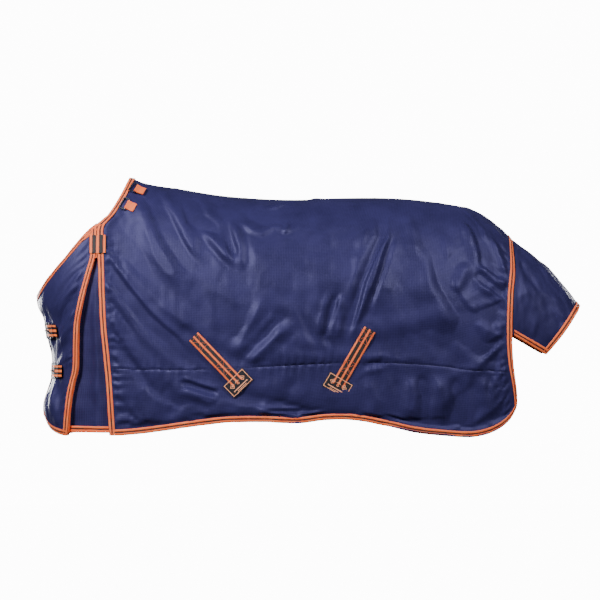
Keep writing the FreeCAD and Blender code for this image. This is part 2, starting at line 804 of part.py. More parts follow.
def make_surcingles():
    for name, side in SIDES.items():
        webs = []
        labels = []
        for which in SURCINGLES:
            top, foot = surcingle_line(which)
            skin = side_patch(top, foot, WEB_W / 2, side)
            ways = between(0.0, 1.0, 9)
            webs.append(slab(skin, GAP, GAP + WEB_T, between(0.0, 1.0, 13), ways, facing(skin, side)))
            run = V(foot[0] - top[0], 0, foot[1] - top[1])
            run.normalize()
            half = LABEL_H / 2
            start = (foot[0] - run.x * half, foot[1] - run.z * half)
            finish = (foot[0] + run.x * half, foot[1] + run.z * half)
            skin = side_patch(start, finish, LABEL_W / 2, side)
            low = GAP + WEB_T + GAP
            labels.append(slab(skin, low, low + LABEL_T, ways, ways, facing(skin, side)))
        add("surcingle_webs_" + name, webs)
        add("surcingle_patches_" + name, labels)
    tabs = []
    plates = []
    hooks = []
    for left, right, rise in (("front", "rear", 0.0), ("rear", "front", BELLY_STEP)):
        points, walls = belly_path(left, right, rise)
        ends = (points[4], points[-5], walls)
        line = path_line(points)
        half_clip = (CLIP_L / 2 + 1.0) / line.length()
        tabs.append(strap(line, 0.0, CLIP_AT - half_clip, ends, WEB_W, WEB_T, 13))
        add("belly_strap_" + left, strap(line, CLIP_AT + half_clip, 1.0, ends, WEB_W, WEB_T, 41))
        at, way, wide, up = path_frame(line, CLIP_AT, ends)
        plate, hook = clip_pieces()
        plates.append(placed(plate, at, way, up))
        hooks.append(placed(hook, at, way, up))
        at, way, wide, up = path_frame(line, SLIDER_AT, ends)
        add("belly_slider_" + left, placed(slider_piece(), at, way, up))
    add("surcingle_inner_tabs", tabs)
    add("surcingle_slot_plates", plates)
    add("surcingle_hooks", hooks)


# ---------------------------------------------------------------- chest straps
def chest_skin(level, rise):
    """A band round the chest, raised off the panels: s 0 on the left, 1 on the right."""
    def plain(s, t):
        turn = math.radians(STRAP_TURNS[0] + (STRAP_TURNS[1] - STRAP_TURNS[0]) * s)
        z = height(CHEST_LEVELS[level]) + CHEST_W * (0.5 - t)
        return wrap_point(turn, z, -1)

    def skin(s, t):
        turn = STRAP_TURNS[0] + (STRAP_TURNS[1] - STRAP_TURNS[0]) * s
        return plain(s, t) + normal(plain, s, t) * (outward_sign(plain) * rise(turn))
    return skin


def outward_sign(skin):
    return 1 if normal(skin, 0.6, 0.5).x < 0 else -1


strap_rise = curve([(49.0, 10.3), (54.5, 10.1), (60.0, 10.2), (63.0, 10.2), (64.5, 9.8), (67.0, 8.2),
                    (70.0, 5.2), (72.5, 3.5), (75.0, 3.2), (80.0, 2.9), (90.0, 2.5), (100.0, 2.8),
                    (118.0, 2.8)])


def buckle_seat(level):
    z = height(CHEST_LEVELS[level])
    turn = math.radians(BUCKLE_TURN)

    def skin(s, t):
        return wrap_point(s, t, -1)
    at = skin(turn, z)
    out = normal(lambda s, t: wrap_point(turn + s, z + t * 1000.0, -1), 0.0, 0.0)
    if out.x > 0:
        out = out * -1
    along = skin(turn - 0.01, z) - at
    along.normalize()
    return at + out * CHEST_SEAT, along, out


def buckle_frame():
    low = LOOP_Z - BUCKLE_T / 2
    arm = BUCKLE_W / 2 - BUCKLE_BAR
    body = block(-BUCKLE_L, 2.0, -BUCKLE_W / 2, BUCKLE_W / 2, low, low + BUCKLE_T)
    corners = [e for e in body.Edges if abs(e.tangentAt(e.FirstParameter).z) > 0.9]
    body = body.makeFillet(5.0, [e for e in corners if e.Vertexes[0].X < 0])
    body = body.cut(block(-BUCKLE_L + BUCKLE_BAR, 5.0, -arm, arm, low - 1, low + BUCKLE_T + 1))
    bar = Part.makeCylinder(BAR_R, 2 * arm + 2.0, V(0, -arm - 1.0, LOOP_Z), V(0, 1, 0))
    return body.fuse(bar).removeSplitter()


def buckle_tongue():
    half = TONGUE_W / 2
    eye = Part.makeCylinder(LOOP_R, TONGUE_W, V(0, -half, LOOP_Z), V(0, 1, 0))
    reach = BUCKLE_L + 1.0
    tip = LOOP_Z + BUCKLE_T / 2 + PIECE_GAP + 0.6
    stem = prism([(0.0, LOOP_Z - 1.0), (-reach, tip), (-reach, tip + 2.4), (0.0, LOOP_Z + 2.4)], half)
    hole = Part.makeCylinder(BAR_R + PIECE_GAP, TONGUE_W + 2, V(0, -half - 1, LOOP_Z), V(0, 1, 0))
    return eye.fuse(stem).cut(hole).removeSplitter()


def make_chest_straps():
    straps = []
    tabs = []
    frames = []
    keepers = []
    patches = []
    for level in CHEST_LEVELS:
        at, along, out = buckle_seat(level)
        skin = chest_skin(level, strap_rise)
        plain = chest_skin(level, lambda turn: 0.0)
        sign = outward_sign(plain)
        band = slab(skin, 0.0, CHEST_T, between(0.0, 1.0, 41), between(0.0, 1.0, 5), sign)
        slot = block(-30.0, 6.0, -TONGUE_W / 2 - 1.5, TONGUE_W / 2 + 1.5, 0.0, 30.0)
        straps.append(band.cut(placed(slot, at, along, out)))
        tab = loop_tab(CHEST_TAB_LEN, CHEST_W / 2, 3.6, BAR_R + PIECE_GAP, TONGUE_W + 2.0)
        tabs.append(placed(tab, at, along, out))
        frames.append(placed(buckle_frame(), at, along, out))
        add("chest_tongue_" + level, placed(buckle_tongue(), at, along, out))
        half = CHEST_W / 2 + 1.0
        keeper = block(26.0, 36.0, -half - 2.0, half + 2.0, -1.2, 12.4)
        keeper = keeper.cut(block(25.0, 37.0, -half, half, 0.0, 11.0))
        keepers.append(placed(keeper, at, along, out))
        share = (STRAP_TURNS[1] - 14.0 - STRAP_TURNS[0]) / (STRAP_TURNS[1] - STRAP_TURNS[0])
        patches.append(slab(
            plain, GAP, GAP + CHEST_T, between(share, 1.02, 7), between(0.0, 1.0, 5), sign))
    add("chest_straps", straps)
    add("chest_buckle_tabs", tabs)
    add("chest_buckle_frames", frames)
    add("chest_keepers", keepers)
    add("chest_strap_patches", patches)


STEPS = [make_body, make_body_bindings, make_front_panels, make_gussets, make_tail_flap,
         make_rings, make_shoulder_tabs, make_surcingles, make_chest_straps]

if __name__ == "__main__":
    os.makedirs("parts", exist_ok=True)
    for step in STEPS:
        step()
    for name, shape in PARTS.items():
        shape.exportStep("parts/" + name + ".step")
        solids = shape.Solids
        print(name, len(solids), [round(s.Volume) for s in solids], shape.isValid())
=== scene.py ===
import math

import bpy
import numpy as np
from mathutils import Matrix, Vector


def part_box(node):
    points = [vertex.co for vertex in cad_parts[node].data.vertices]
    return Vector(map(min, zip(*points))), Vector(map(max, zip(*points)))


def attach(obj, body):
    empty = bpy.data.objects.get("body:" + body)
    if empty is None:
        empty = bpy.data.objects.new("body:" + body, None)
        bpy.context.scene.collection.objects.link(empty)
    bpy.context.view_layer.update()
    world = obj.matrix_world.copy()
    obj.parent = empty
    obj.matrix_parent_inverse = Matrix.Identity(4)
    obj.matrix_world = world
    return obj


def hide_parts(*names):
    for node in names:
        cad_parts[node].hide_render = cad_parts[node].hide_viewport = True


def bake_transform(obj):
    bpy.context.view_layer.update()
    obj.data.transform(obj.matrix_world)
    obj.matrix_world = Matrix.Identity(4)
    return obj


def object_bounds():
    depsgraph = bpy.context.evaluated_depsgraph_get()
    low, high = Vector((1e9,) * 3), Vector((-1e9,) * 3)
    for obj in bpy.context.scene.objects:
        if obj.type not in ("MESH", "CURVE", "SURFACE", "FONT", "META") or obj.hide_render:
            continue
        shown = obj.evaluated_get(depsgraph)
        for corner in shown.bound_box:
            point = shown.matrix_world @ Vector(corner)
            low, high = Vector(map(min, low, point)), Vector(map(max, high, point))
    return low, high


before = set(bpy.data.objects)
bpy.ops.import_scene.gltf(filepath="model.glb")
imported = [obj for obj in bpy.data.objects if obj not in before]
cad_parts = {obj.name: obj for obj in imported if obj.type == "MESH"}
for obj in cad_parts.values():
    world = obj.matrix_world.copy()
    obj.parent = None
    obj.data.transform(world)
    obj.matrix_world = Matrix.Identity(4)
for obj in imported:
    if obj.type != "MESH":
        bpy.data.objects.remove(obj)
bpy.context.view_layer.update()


# ---------------------------------------------------------------- back and skirts
# The body of a turnout rug: coated ripstop polyester over wadding. One piece covers the back,
# and a skirt is sewn on below a level seam on each side. It hangs from the back and the belly
# straps, so it pulls into long slanting folds at the shoulder, the flank and the rump.
BACK_LENGTH = 1460.0
DROP = 976.0
BARREL_HALF = 312.0
WIDEST = 0.55            # depth share of a section's widest level
TURN = 0.6               # share of a half section above that level
TUCK = 0.06
LAYERS = 11.0            # outer fabric, wadding and lining together
BINDING_WIDTH = 22.0
THREADS = 6.0            # ripstop squares, drawn at 6 mm so that they show


def line_through(points):
    """A smooth line through points, straight past its ends."""
    places, values = np.array(points, float).T
    slopes = np.gradient(values)
    slopes[1:-1] = (values[2:] - values[:-2]) / (places[2:] - places[:-2])
    slopes[0] = (values[1] - values[0]) / (places[1] - places[0])
    slopes[-1] = (values[-1] - values[-2]) / (places[-1] - places[-2])

    def value(place):
        place = np.asarray(place, float)
        i = np.clip(np.searchsorted(places, place, side="right") - 1, 0, len(places) - 2)
        span = places[i + 1] - places[i]
        t = np.clip((place - places[i]) / span, 0, 1)
        rise = t * t * (3 - 2 * t)
        inside = values[i] + (values[i + 1] - values[i]) * rise
        inside = inside + t * (1 - t) ** 2 * span * slopes[i] + t * t * (t - 1) * span * slopes[i + 1]
        before = np.minimum(place - places[0], 0) * slopes[0]
        after = np.maximum(place - places[-1], 0) * slopes[-1]
        return inside + before + after
    return value


top_line = line_through([
    (-0.10, 0.002), (0.0, 0.0), (0.06, 0.019), (0.13, 0.035), (0.24, 0.061), (0.35, 0.074),
    (0.45, 0.077), (0.53, 0.071), (0.66, 0.070), (0.74, 0.077), (0.83, 0.094), (0.89, 0.113),
    (0.93, 0.143), (0.97, 0.193), (1.0, 0.250)])
hem_line = line_through([
    (-0.17, 0.999), (-0.08, 0.998), (0.02, 0.991), (0.19, 0.956), (0.26, 0.944), (0.35, 0.942),
    (0.44, 0.946), (0.51, 0.934), (0.58, 0.934), (0.66, 0.955), (0.74, 0.982), (0.83, 0.997),
    (0.888, 1.0), (0.932, 0.986), (0.968, 0.957), (0.99, 0.922), (1.003, 0.883)])
seam_line = line_through([
    (-0.08, 0.739), (0.19, 0.735), (0.35, 0.722), (0.6, 0.706), (0.77, 0.715), (0.89, 0.738),
    (1.0, 0.756)])
width_line = line_through([
    (-0.10, 0.66), (0.0, 0.72), (0.14, 0.84), (0.34, 0.97), (0.55, 1.0), (0.75, 0.965),
    (0.89, 0.87), (0.96, 0.77), (1.003, 0.70)])
front_edge = line_through([
    (0.0, 0.0), (0.07, -0.0205), (0.15, -0.053), (0.19, -0.076), (0.24, -0.078), (0.30, -0.0765),
    (0.475, -0.0726), (0.58, -0.069), (0.68, -0.062), (0.78, -0.056), (0.89, -0.0507),
    (1.0, -0.046)])
rear_edge = line_through([
    (0.24, 0.995), (0.36, 0.998), (0.46, 0.992), (0.60, 0.989), (0.72, 0.992), (0.81, 1.0),
    (0.87, 1.003), (0.92, 1.003)])


def depth(z):
    return (LAYERS - z) / DROP


def height(share):
    return LAYERS - share * DROP


def half_section(x, v):
    """Half width and height of the rug's outside at x; v is 0 on the spine and 1 at the hem."""
    share = x / BACK_LENGTH
    top = top_line(share)
    fall = hem_line(share) - top
    half = BARREL_HALF * width_line(share)
    angle = np.minimum(v / TURN, 1) * math.pi / 2
    past = np.maximum((v - TURN) / (1 - TURN), 0)
    deep = np.where(v < TURN, WIDEST * (1 - np.cos(angle)), WIDEST + (1 - WIDEST) * past)
    wide = np.where(v < TURN, np.sin(angle), 1 - TUCK * past * past)
    return half * wide, height(top + deep * fall)


def half_width(x, z):
    """Half width of the rug's outside at a height."""
    share = x / BACK_LENGTH
    top = top_line(share)
    deep = (depth(z) - top) / (hem_line(share) - top)
    half = BARREL_HALF * width_line(share)
    left = 1 - np.clip(deep, 0, WIDEST) / WIDEST
    past = np.maximum((deep - WIDEST) / (1 - WIDEST), 0)
    return half * np.where(
        deep < WIDEST, np.sqrt(np.maximum(1 - left * left, 0)), 1 - TUCK * past * past)


def section_place(x, z):
    """The section's v for a height: the inverse of half_section."""
    share = x / BACK_LENGTH
    top = top_line(share)
    deep = (depth(z) - top) / (hem_line(share) - top)
    upper = TURN * np.arccos(np.clip(1 - deep / WIDEST, -1, 1)) / (math.pi / 2)
    return np.where(deep < WIDEST, upper, TURN + (1 - TURN) * (deep - WIDEST) / (1 - WIDEST))


def edge_x(line, v, start):
    x = np.full(np.shape(v), start)
    for _ in range(14):
        x = BACK_LENGTH * line(depth(half_section(x, v)[1]))
    return x


edge_places = np.linspace(0, 1.02, 1021)
front_edges = edge_x(front_edge, edge_places, 0.0)
rear_edges = edge_x(rear_edge, edge_places, BACK_LENGTH)


def body_skin(u, v):
    """Outside of the body: u 0 front edge, 1 rear edge; v -1 left hem, 0 spine, 1 right hem."""
    u, v = np.broadcast_arrays(np.asarray(u, float), np.asarray(v, float))
    start = np.interp(abs(v), edge_places, front_edges)
    x = start + u * (np.interp(abs(v), edge_places, rear_edges) - start)
    y, z = half_section(x, abs(v))
    return np.stack([x, np.where(v < 0, -y, y), z], -1)


def normals(skin, u, v, outward=1):
    h = 1e-3
    along = skin(u + h, v) - skin(u - h, v)
    across = skin(u, v + h) - skin(u, v - h)
    out = np.cross(along, across) * np.asarray(outward, float)[..., None]
    return out / np.linalg.norm(out, axis=-1, keepdims=True)


section = np.stack(half_section(np.full(201, BACK_LENGTH / 2), np.linspace(0, 1, 201)), -1)
girth = np.concatenate([[0], np.cumsum(np.linalg.norm(np.diff(section, axis=0), axis=1))])


def down_cloth(v):
    """Distance down the cloth from the spine, in millimetres."""
    return np.interp(abs(v), np.linspace(0, 1, 201), girth)


def smooth(t):
    t = np.clip(t, 0, 1)
    return t * t * (3 - 2 * t)


def unevenness(x, s, size, seed):
    """Soft random waves of a given size, from a seeded grid."""
    lattice = np.random.default_rng(seed).standard_normal((67, 67))
    a = np.mod(x / size, 67)
    b = np.mod(s / size, 67)
    i, j = a.astype(int), b.astype(int)
    p, q = smooth(a - i), smooth(b - j)
    k, l = (i + 1) % 67, (j + 1) % 67
    i, j = i % 67, j % 67
    near = lattice[i, j] * (1 - p) + lattice[k, j] * p
    far = lattice[i, l] * (1 - p) + lattice[k, l] * p
    return near * (1 - q) + far * q


def one_fold(x, s, path, width, rise, lean):
    """A fold along a path: its crest is soft, it dips beside itself and fades at both ends."""
    points = np.array([(a, float(down_cloth(section_place(a, b)))) for a, b in path])
    lengths = np.linalg.norm(np.diff(points, axis=0), axis=1)
    nearest = np.full(np.shape(x), 1e9)
    place = np.zeros(np.shape(x))
    side = np.zeros(np.shape(x))
    run = 0.0
    for a, b, length in zip(points, points[1:], lengths):
        way = (b - a) / length
        t = np.clip((x - a[0]) * way[0] + (s - a[1]) * way[1], 0, length)
        dx, ds = x - a[0] - t * way[0], s - a[1] - t * way[1]
        off = np.hypot(dx, ds)
        closer = off < nearest
        nearest = np.where(closer, off, nearest)
        place = np.where(closer, (run + t) / lengths.sum(), place)
        side = np.where(closer, np.sign(dx * way[1] - ds * way[0]), side)
        run += length
    q = nearest / width * (1 + lean * side)
    fade = smooth(np.minimum(place, 1 - place) / 0.3 + 0.12)
    return rise * fade * (np.exp(-q ** 1.7) - 0.33 * np.exp(-((q - 2.0) / 0.9) ** 2))


# Folds as (x, z) paths in millimetres, half width, rise, and how far they lean over.
BODY_FOLDS = [
    ([(-100, -300), (-20, -390), (83, -515), (215, -622)], 17, -10, 0.35),
    ([(-60, -280), (60, -400), (170, -500), (300, -590)], 30, 6, 0),
    ([(-95, -380), (-30, -440), (40, -540)], 14, 4, 0.2),
    ([(95, -38), (120, -90), (187, -240), (262, -345)], 24, -13, 0.3),
    ([(30, -60), (80, -200), (150, -330), (230, -420)], 42, 8, 0),
    ([(247, -60), (262, -136), (343, -205)], 30, -11, 0.2),
    ([(190, -90), (228, -200), (262, -290)], 20, 6, 0),
    ([(275, -165), (340, -240), (416, -325)], 17, 8, -0.2),
    ([(369, -147), (390, -220), (410, -285)], 11, -7, 0.2),
    ([(403, -153), (428, -250), (432, -340)], 14, 7, 0),
    ([(415, -147), (471, -187), (507, -199), (554, -170), (607, -188), (660, -158)], 12, 3.5, -0.3),
    ([(455, -110), (520, -140), (590, -120), (660, -125)], 30, -9, 0),
    ([(520, -105), (560, -98), (612, -76), (650, -72)], 8, 5, 0.3),
    ([(560, -98), (585, -118), (582, -160)], 8, 4, 0.3),
    ([(598, -150), (604, -175), (590, -200)], 8, 4, 0),
    ([(965, -106), (961, -212), (886, -370), (829, -570)], 12, -10, 0.3),
    ([(978, -190), (930, -330), (868, -500), (840, -600)], 12, 8, -0.2),
    ([(1000, -200), (958, -330), (900, -480)], 11, -6, 0.2),
    ([(900, -170), (880, -240), (850, -330)], 16, 4, 0),
    ([(796, -405), (765, -490), (745, -575), (760, -640)], 12, -8, 0.2),
    ([(806, -420), (800, -500), (790, -590)], 13, 6, 0),
    ([(1050, -110), (1075, -200), (1085, -300)], 20, 4, 0),
    ([(1161, -185), (1175, -290), (1199, -396), (1265, -490), (1352, -565)], 20, -9, 0.4),
    ([(1120, -250), (1130, -380), (1180, -500), (1280, -600)], 42, 8, 0),
    ([(1214, -85), (1315, -180), (1357, -317), (1431, -423)], 17, -10, 0.3),
    ([(1250, -120), (1310, -240), (1330, -330)], 24, 7, 0),
    ([(1352, -135), (1410, -180), (1440, -235)], 16, -9, 0.2),
    ([(1370, -210), (1400, -290), (1425, -370)], 16, 7, 0),
    ([(1315, -338), (1345, -370), (1390, -405), (1444, -446)], 12, -17, 0.3),
    ([(1312, -322), (1352, -344), (1400, -378), (1444, -414)], 15, 13, 0),
    ([(1300, -320), (1260, -340), (1230, -420)], 26, 7, 0),
    ([(1210, -535), (1262, -562), (1330, -620), (1400, -640)], 26, -10, 0.2),
    ([(1290, -520), (1350, -560), (1420, -590)], 20, 6, 0),
    ([(422, -679), (500, -600), (592, -490)], 15, -5, 0),
    ([(445, -690), (540, -600), (640, -520)], 17, 5, 0),
    ([(400, -660), (450, -560), (520, -440)], 18, 5, 0),
    ([(640, -470), (690, -560), (742, -665)], 20, -5, 0.2),
    ([(600, -430), (660, -560), (700, -660)], 24, 5, 0),
    ([(820, -735), (880, -690), (980, -670)], 12, -5, 0),
    ([(1044, -720), (1060, -800), (1052, -890)], 22, 6, 0),
    ([(1100, -715), (1118, -800), (1115, -920)], 20, -7, 0),
    ([(1160, -720), (1172, -820), (1180, -930)], 24, 7, 0),
    ([(1225, -725), (1240, -820), (1262, -920)], 20, -6, 0),
    ([(1330, -735), (1345, -820), (1372, -900)], 24, 6, 0),
    ([(196, -752), (270, -775), (350, -796)], 12, -9, 0.3),
    ([(205, -775), (280, -800), (340, -830)], 18, 5, 0),
    ([(60, -740), (90, -830), (82, -920)], 24, 5, 0),
    ([(150, -750), (170, -840), (160, -910)], 22, -5, 0),
    ([(500, -740), (520, -820), (505, -900)], 22, 5, 0),
    ([(620, -730), (600, -820), (640, -890)], 24, -5, 0),
    ([(900, -730), (930, -820), (915, -920)], 24, 5, 0),
]
surcingle_tops = {"front": ((252.0, 0.617), 46.0), "rear": ((908.0, 0.590), -60.0)}
surcingle_lines = {}
for which, ((x, share), slope) in surcingle_tops.items():
    reach = 238.0 * math.cos(math.radians(abs(slope))) * math.copysign(1, slope)
    fall = 238.0 * math.sin(math.radians(abs(slope)))
    surcingle_lines[which] = ((x, height(share)), (x + reach, height(share) - fall))


def body_relief(x, v):
    """How far the cloth stands out from its plain shape, in millimetres, over the whole body."""
    s = down_cloth(v)
    rise = np.zeros(np.shape(x))
    for path, width, lift, lean in BODY_FOLDS:
        left = one_fold(x, s, path, width, lift, lean)
        moved = [(a + 22 * math.sin(a / 70 + b / 90), b - 12 * math.cos(a / 80)) for a, b in path]
        right = one_fold(x, s, moved, width * 1.15, lift * 0.8, lean)
        cross = smooth(0.5 + v / 0.06)
        rise = rise + left * (1 - cross) + right * cross
    turned = s + 2600 * (v > 0)
    slanted = x * 0.45
    rise = rise + 1.9 * unevenness(x + slanted, turned, 150, 11) * smooth(s / 200)
    rise = rise + 1.0 * unevenness(x * 1.4, turned * 0.5, 62, 12)
    rise = rise + 0.35 * unevenness(x * 1.2, turned * 0.7, 24, 13)
    seam = down_cloth(section_place(x, height(seam_line(x / BACK_LENGTH))))
    off = s - seam
    pull = np.exp(-np.abs(off) / 26) * (1 - np.exp(-np.abs(off) / 5))
    waves = np.sin(2 * math.pi * x / 31 + 2.4 * unevenness(x, turned * 0.1, 60, 14))
    patchy = 0.6 + 0.5 * unevenness(x, turned * 0.05, 130, 15)
    rise = rise + 2.8 * pull * waves * patchy - 1.7 * np.exp(-(off / 4.0) ** 2)
    edge = np.interp(abs(v), edge_places, front_edges)
    inside = x - edge - BINDING_WIDTH
    waves = np.sin(2 * math.pi * s / 34 + 2.4 * unevenness(s, x * 0.1, 60, 16))
    rise = rise + 3.0 * np.exp(-np.maximum(inside, 0) / 26) * waves * (s > 330)
    back = np.interp(abs(v), edge_places, rear_edges) - x - BINDING_WIDTH
    waves = np.sin(2 * math.pi * s / 44 + 2.4 * unevenness(s, x * 0.1, 70, 17))
    rise = rise + 2.0 * np.exp(-np.maximum(back, 0) / 24) * waves
    hem = down_cloth(1.0) - s - BINDING_WIDTH
    held = smooth(inside / 16) * smooth(back / 16) * smooth(hem / 22)
    z = half_section(x, abs(v))[1]
    for (ax, az), (bx, bz) in surcingle_lines.values():
        length = math.hypot(bx - ax, bz - az)
        t = np.clip(((x - ax) * (bx - ax) + (z - az) * (bz - az)) / length ** 2, 0, 1.13)
        off = np.hypot(x - ax - t * (bx - ax), z - az - t * (bz - az))
        reach = 26 + 30 * smooth((t - 0.8) / 0.1)
        held = held * (0.12 + 0.88 * smooth((off - reach) / 45))
    return np.clip(rise * 1.45, -8.0, 14.0) * held


def cubic_weights(places, count):
    """Weights that carry values from count even stations to places between 0 and 1."""
    weights = np.zeros((len(places), count))
    for row, place in enumerate(places):
        a = min(max(place, 0), 1) * (count - 1)
        i = min(int(a), count - 2)
        t = a - i
        shares = (-t * (1 - t) ** 2 / 2, 1 + t * t * (1.5 * t - 2.5), t * (0.5 + 2 * t - 1.5 * t * t),
                  t * t * (t - 1) / 2)
        for k, share in zip(range(i - 1, i + 3), shares):
            weights[row, min(max(k, 0), count - 1)] += share
    return weights


def cloth_object(name, points, lengths, flip=False):
    """A mesh over a grid of points in millimetres, with its real cloth lengths in metres."""
    rows, columns = points.shape[:2]
    flat = points.reshape(-1, 3) / 1000
    i, j = np.meshgrid(np.arange(rows - 1), np.arange(columns - 1), indexing="ij")
    a = (i * columns + j).ravel()
    quads = np.stack([a, a + columns, a + columns + 1, a + 1], -1)
    if flip:
        quads = quads[:, ::-1]
    mesh = bpy.data.meshes.new(name)
    mesh.from_pydata(flat.tolist(), [], quads.tolist())
    layer = mesh.uv_layers.new(name="cloth")
    layer.data.foreach_set("uv", (lengths.reshape(-1, 2)[quads.ravel()]).astype(np.float32).ravel())
    mesh.polygons.foreach_set("use_smooth", np.ones(len(quads), bool))
    mesh.update()
    made = bpy.data.objects.new(name, mesh)
    bpy.context.scene.collection.objects.link(made)
    return made


def cloth_lengths(points):
    """Distances along and across a grid of points, in metres."""
    along = np.linalg.norm(np.diff(points, axis=0), axis=-1).mean(1)
    across = np.linalg.norm(np.diff(points, axis=1), axis=-1).mean(0)
    a = np.concatenate([[0], np.cumsum(along)])
    b = np.concatenate([[0], np.cumsum(across)])
    return np.stack(np.meshgrid(a, b, indexing="ij"), -1) / 1000


def settled(points, held, slack, frames):
    """Where a sheet comes to rest when it is a little larger than its place, held by a weight."""
    sheet = cloth_object("cloth_at_work", points, cloth_lengths(points))
    group = sheet.vertex_groups.new(name="held")
    for index, weight in enumerate(held.ravel()):
        group.add([index], float(weight), "REPLACE")
    cloth = sheet.modifiers.new("drape", "CLOTH")
    rules = cloth.settings
    rules.quality = 5
    rules.mass = 0.4
    rules.tension_stiffness = 18
    rules.compression_stiffness = 18
    rules.shear_stiffness = 6
    rules.bending_stiffness = 1.2
    rules.air_damping = 3
    rules.vertex_group_mass = "held"
    rules.pin_stiffness = 0.6
    rules.shrink_min = -slack
    rules.use_pressure = True
    rules.uniform_pressure_force = 0.35
    rules.effector_weights.gravity = 0.35
    cloth.collision_settings.use_collision = False
    cloth.point_cache.frame_end = frames
    scene = bpy.context.scene
    for now in range(1, frames + 1):
        scene.frame_set(now)
    settled_mesh = sheet.evaluated_get(bpy.context.evaluated_depsgraph_get()).data
    rest = np.zeros(len(settled_mesh.vertices) * 3, np.float32)
    settled_mesh.vertices.foreach_get("co", rest)
    scene.frame_set(1)
    bpy.data.objects.remove(sheet)
    return rest.reshape(points.shape).astype(float) * 1000


# The cloth is let settle before it is cut into pieces, and moves by 9 mm at most.
SIM_ROWS, SIM_COLUMNS = 105, 155
SETTLING = 9.0
drape = np.zeros((SIM_ROWS, SIM_COLUMNS, 3))
u, v = np.meshgrid(np.linspace(0, 1, SIM_ROWS), np.linspace(-1, 1, SIM_COLUMNS), indexing="ij")
plain = body_skin(u, v)
start = plain + normals(body_skin, u, v) * body_relief(plain[..., 0], v)[..., None]
edges = np.minimum(np.minimum(u, 1 - u) * 1500, (1 - abs(v)) * 1050)
seam = down_cloth(section_place(plain[..., 0], height(seam_line(plain[..., 0] / BACK_LENGTH))))
held = np.maximum(1 - smooth(edges / 45), 0.35 * np.exp(-((down_cloth(v) - seam) / 12) ** 2))
held = np.maximum(held, 0.06)
drape = settled(start, held, 0.012, 14) - start
size = np.linalg.norm(drape, axis=-1, keepdims=True)
drape = drape * np.minimum(1, SETTLING / np.maximum(size, 1e-6)) * smooth(edges / 60)[..., None]


def body_piece(name, us, place, outward):
    """Part of the body's outside; place gives the section's v for x and the grid's columns."""
    uu = np.repeat(us[:, None], place(np.zeros(1)).shape[-1], 1)
    rough_x = body_skin(uu, np.full(uu.shape, 0.7))[..., 0]
    vv = place(rough_x)
    plain = body_skin(uu, vv)
    out = normals(body_skin, uu, vv)
    by_rows = np.einsum("ra,abk->rbk", cubic_weights(us, SIM_ROWS), drape)
    b = (vv + 1) / 2 * (SIM_COLUMNS - 1)
    j = np.clip(b.astype(int), 1, SIM_COLUMNS - 3)
    t = (b - j)[..., None]
    r = np.arange(len(us))[:, None]
    p0, p1, p2, p3 = (by_rows[r, j + k] for k in (-1, 0, 1, 2))
    shift = p1 + 0.5 * t * (
        p2 - p0 + t * (2 * p0 - 5 * p1 + 4 * p2 - p3 + t * (3 * (p1 - p2) + p3 - p0)))
    lift = body_relief(plain[..., 0], vv)
    normal_shift = (shift * out).sum(-1)
    shift = shift - out * normal_shift[..., None]
    points = plain + shift + out * np.clip(lift + normal_shift, -7.5, 15.0)[..., None]
    return cloth_object(name, points, cloth_lengths(plain), flip=outward < 0)


def linear(code):
    """An sRGB hex colour as linear values."""
    parts = [int(code[i:i + 2], 16) / 255 for i in (1, 3, 5)]
    return [p / 12.92 if p <= 0.04045 else ((p + 0.055) / 1.055) ** 2.4 for p in parts] + [1.0]


def add_node(tree, kind, inputs=None, **settings):
    """Adds a shader node; an input is a value, or (node, output) for a link."""
    made = tree.nodes.new(kind)
    for key, value in settings.items():
        setattr(made, key, value)
    for key, value in (inputs or {}).items():
        if isinstance(value, tuple) and isinstance(value[0], bpy.types.Node):
            tree.links.new(value[0].outputs[value[1]], made.inputs[key])
        else:
            made.inputs[key].default_value = value
    return made


def new_material(name):
    material = bpy.data.materials.new(name)
    material.use_nodes = True
    material.node_tree.nodes.clear()
    return material, material.node_tree


def finish_surface(tree, **inputs):
    """The surface shader and the output of a material."""
    values = {key.replace("_", " "): value for key, value in inputs.items()}
    shader = add_node(tree, "ShaderNodeBsdfPrincipled", values)
    add_node(tree, "ShaderNodeOutputMaterial", {"Surface": (shader, "BSDF")})
    return shader


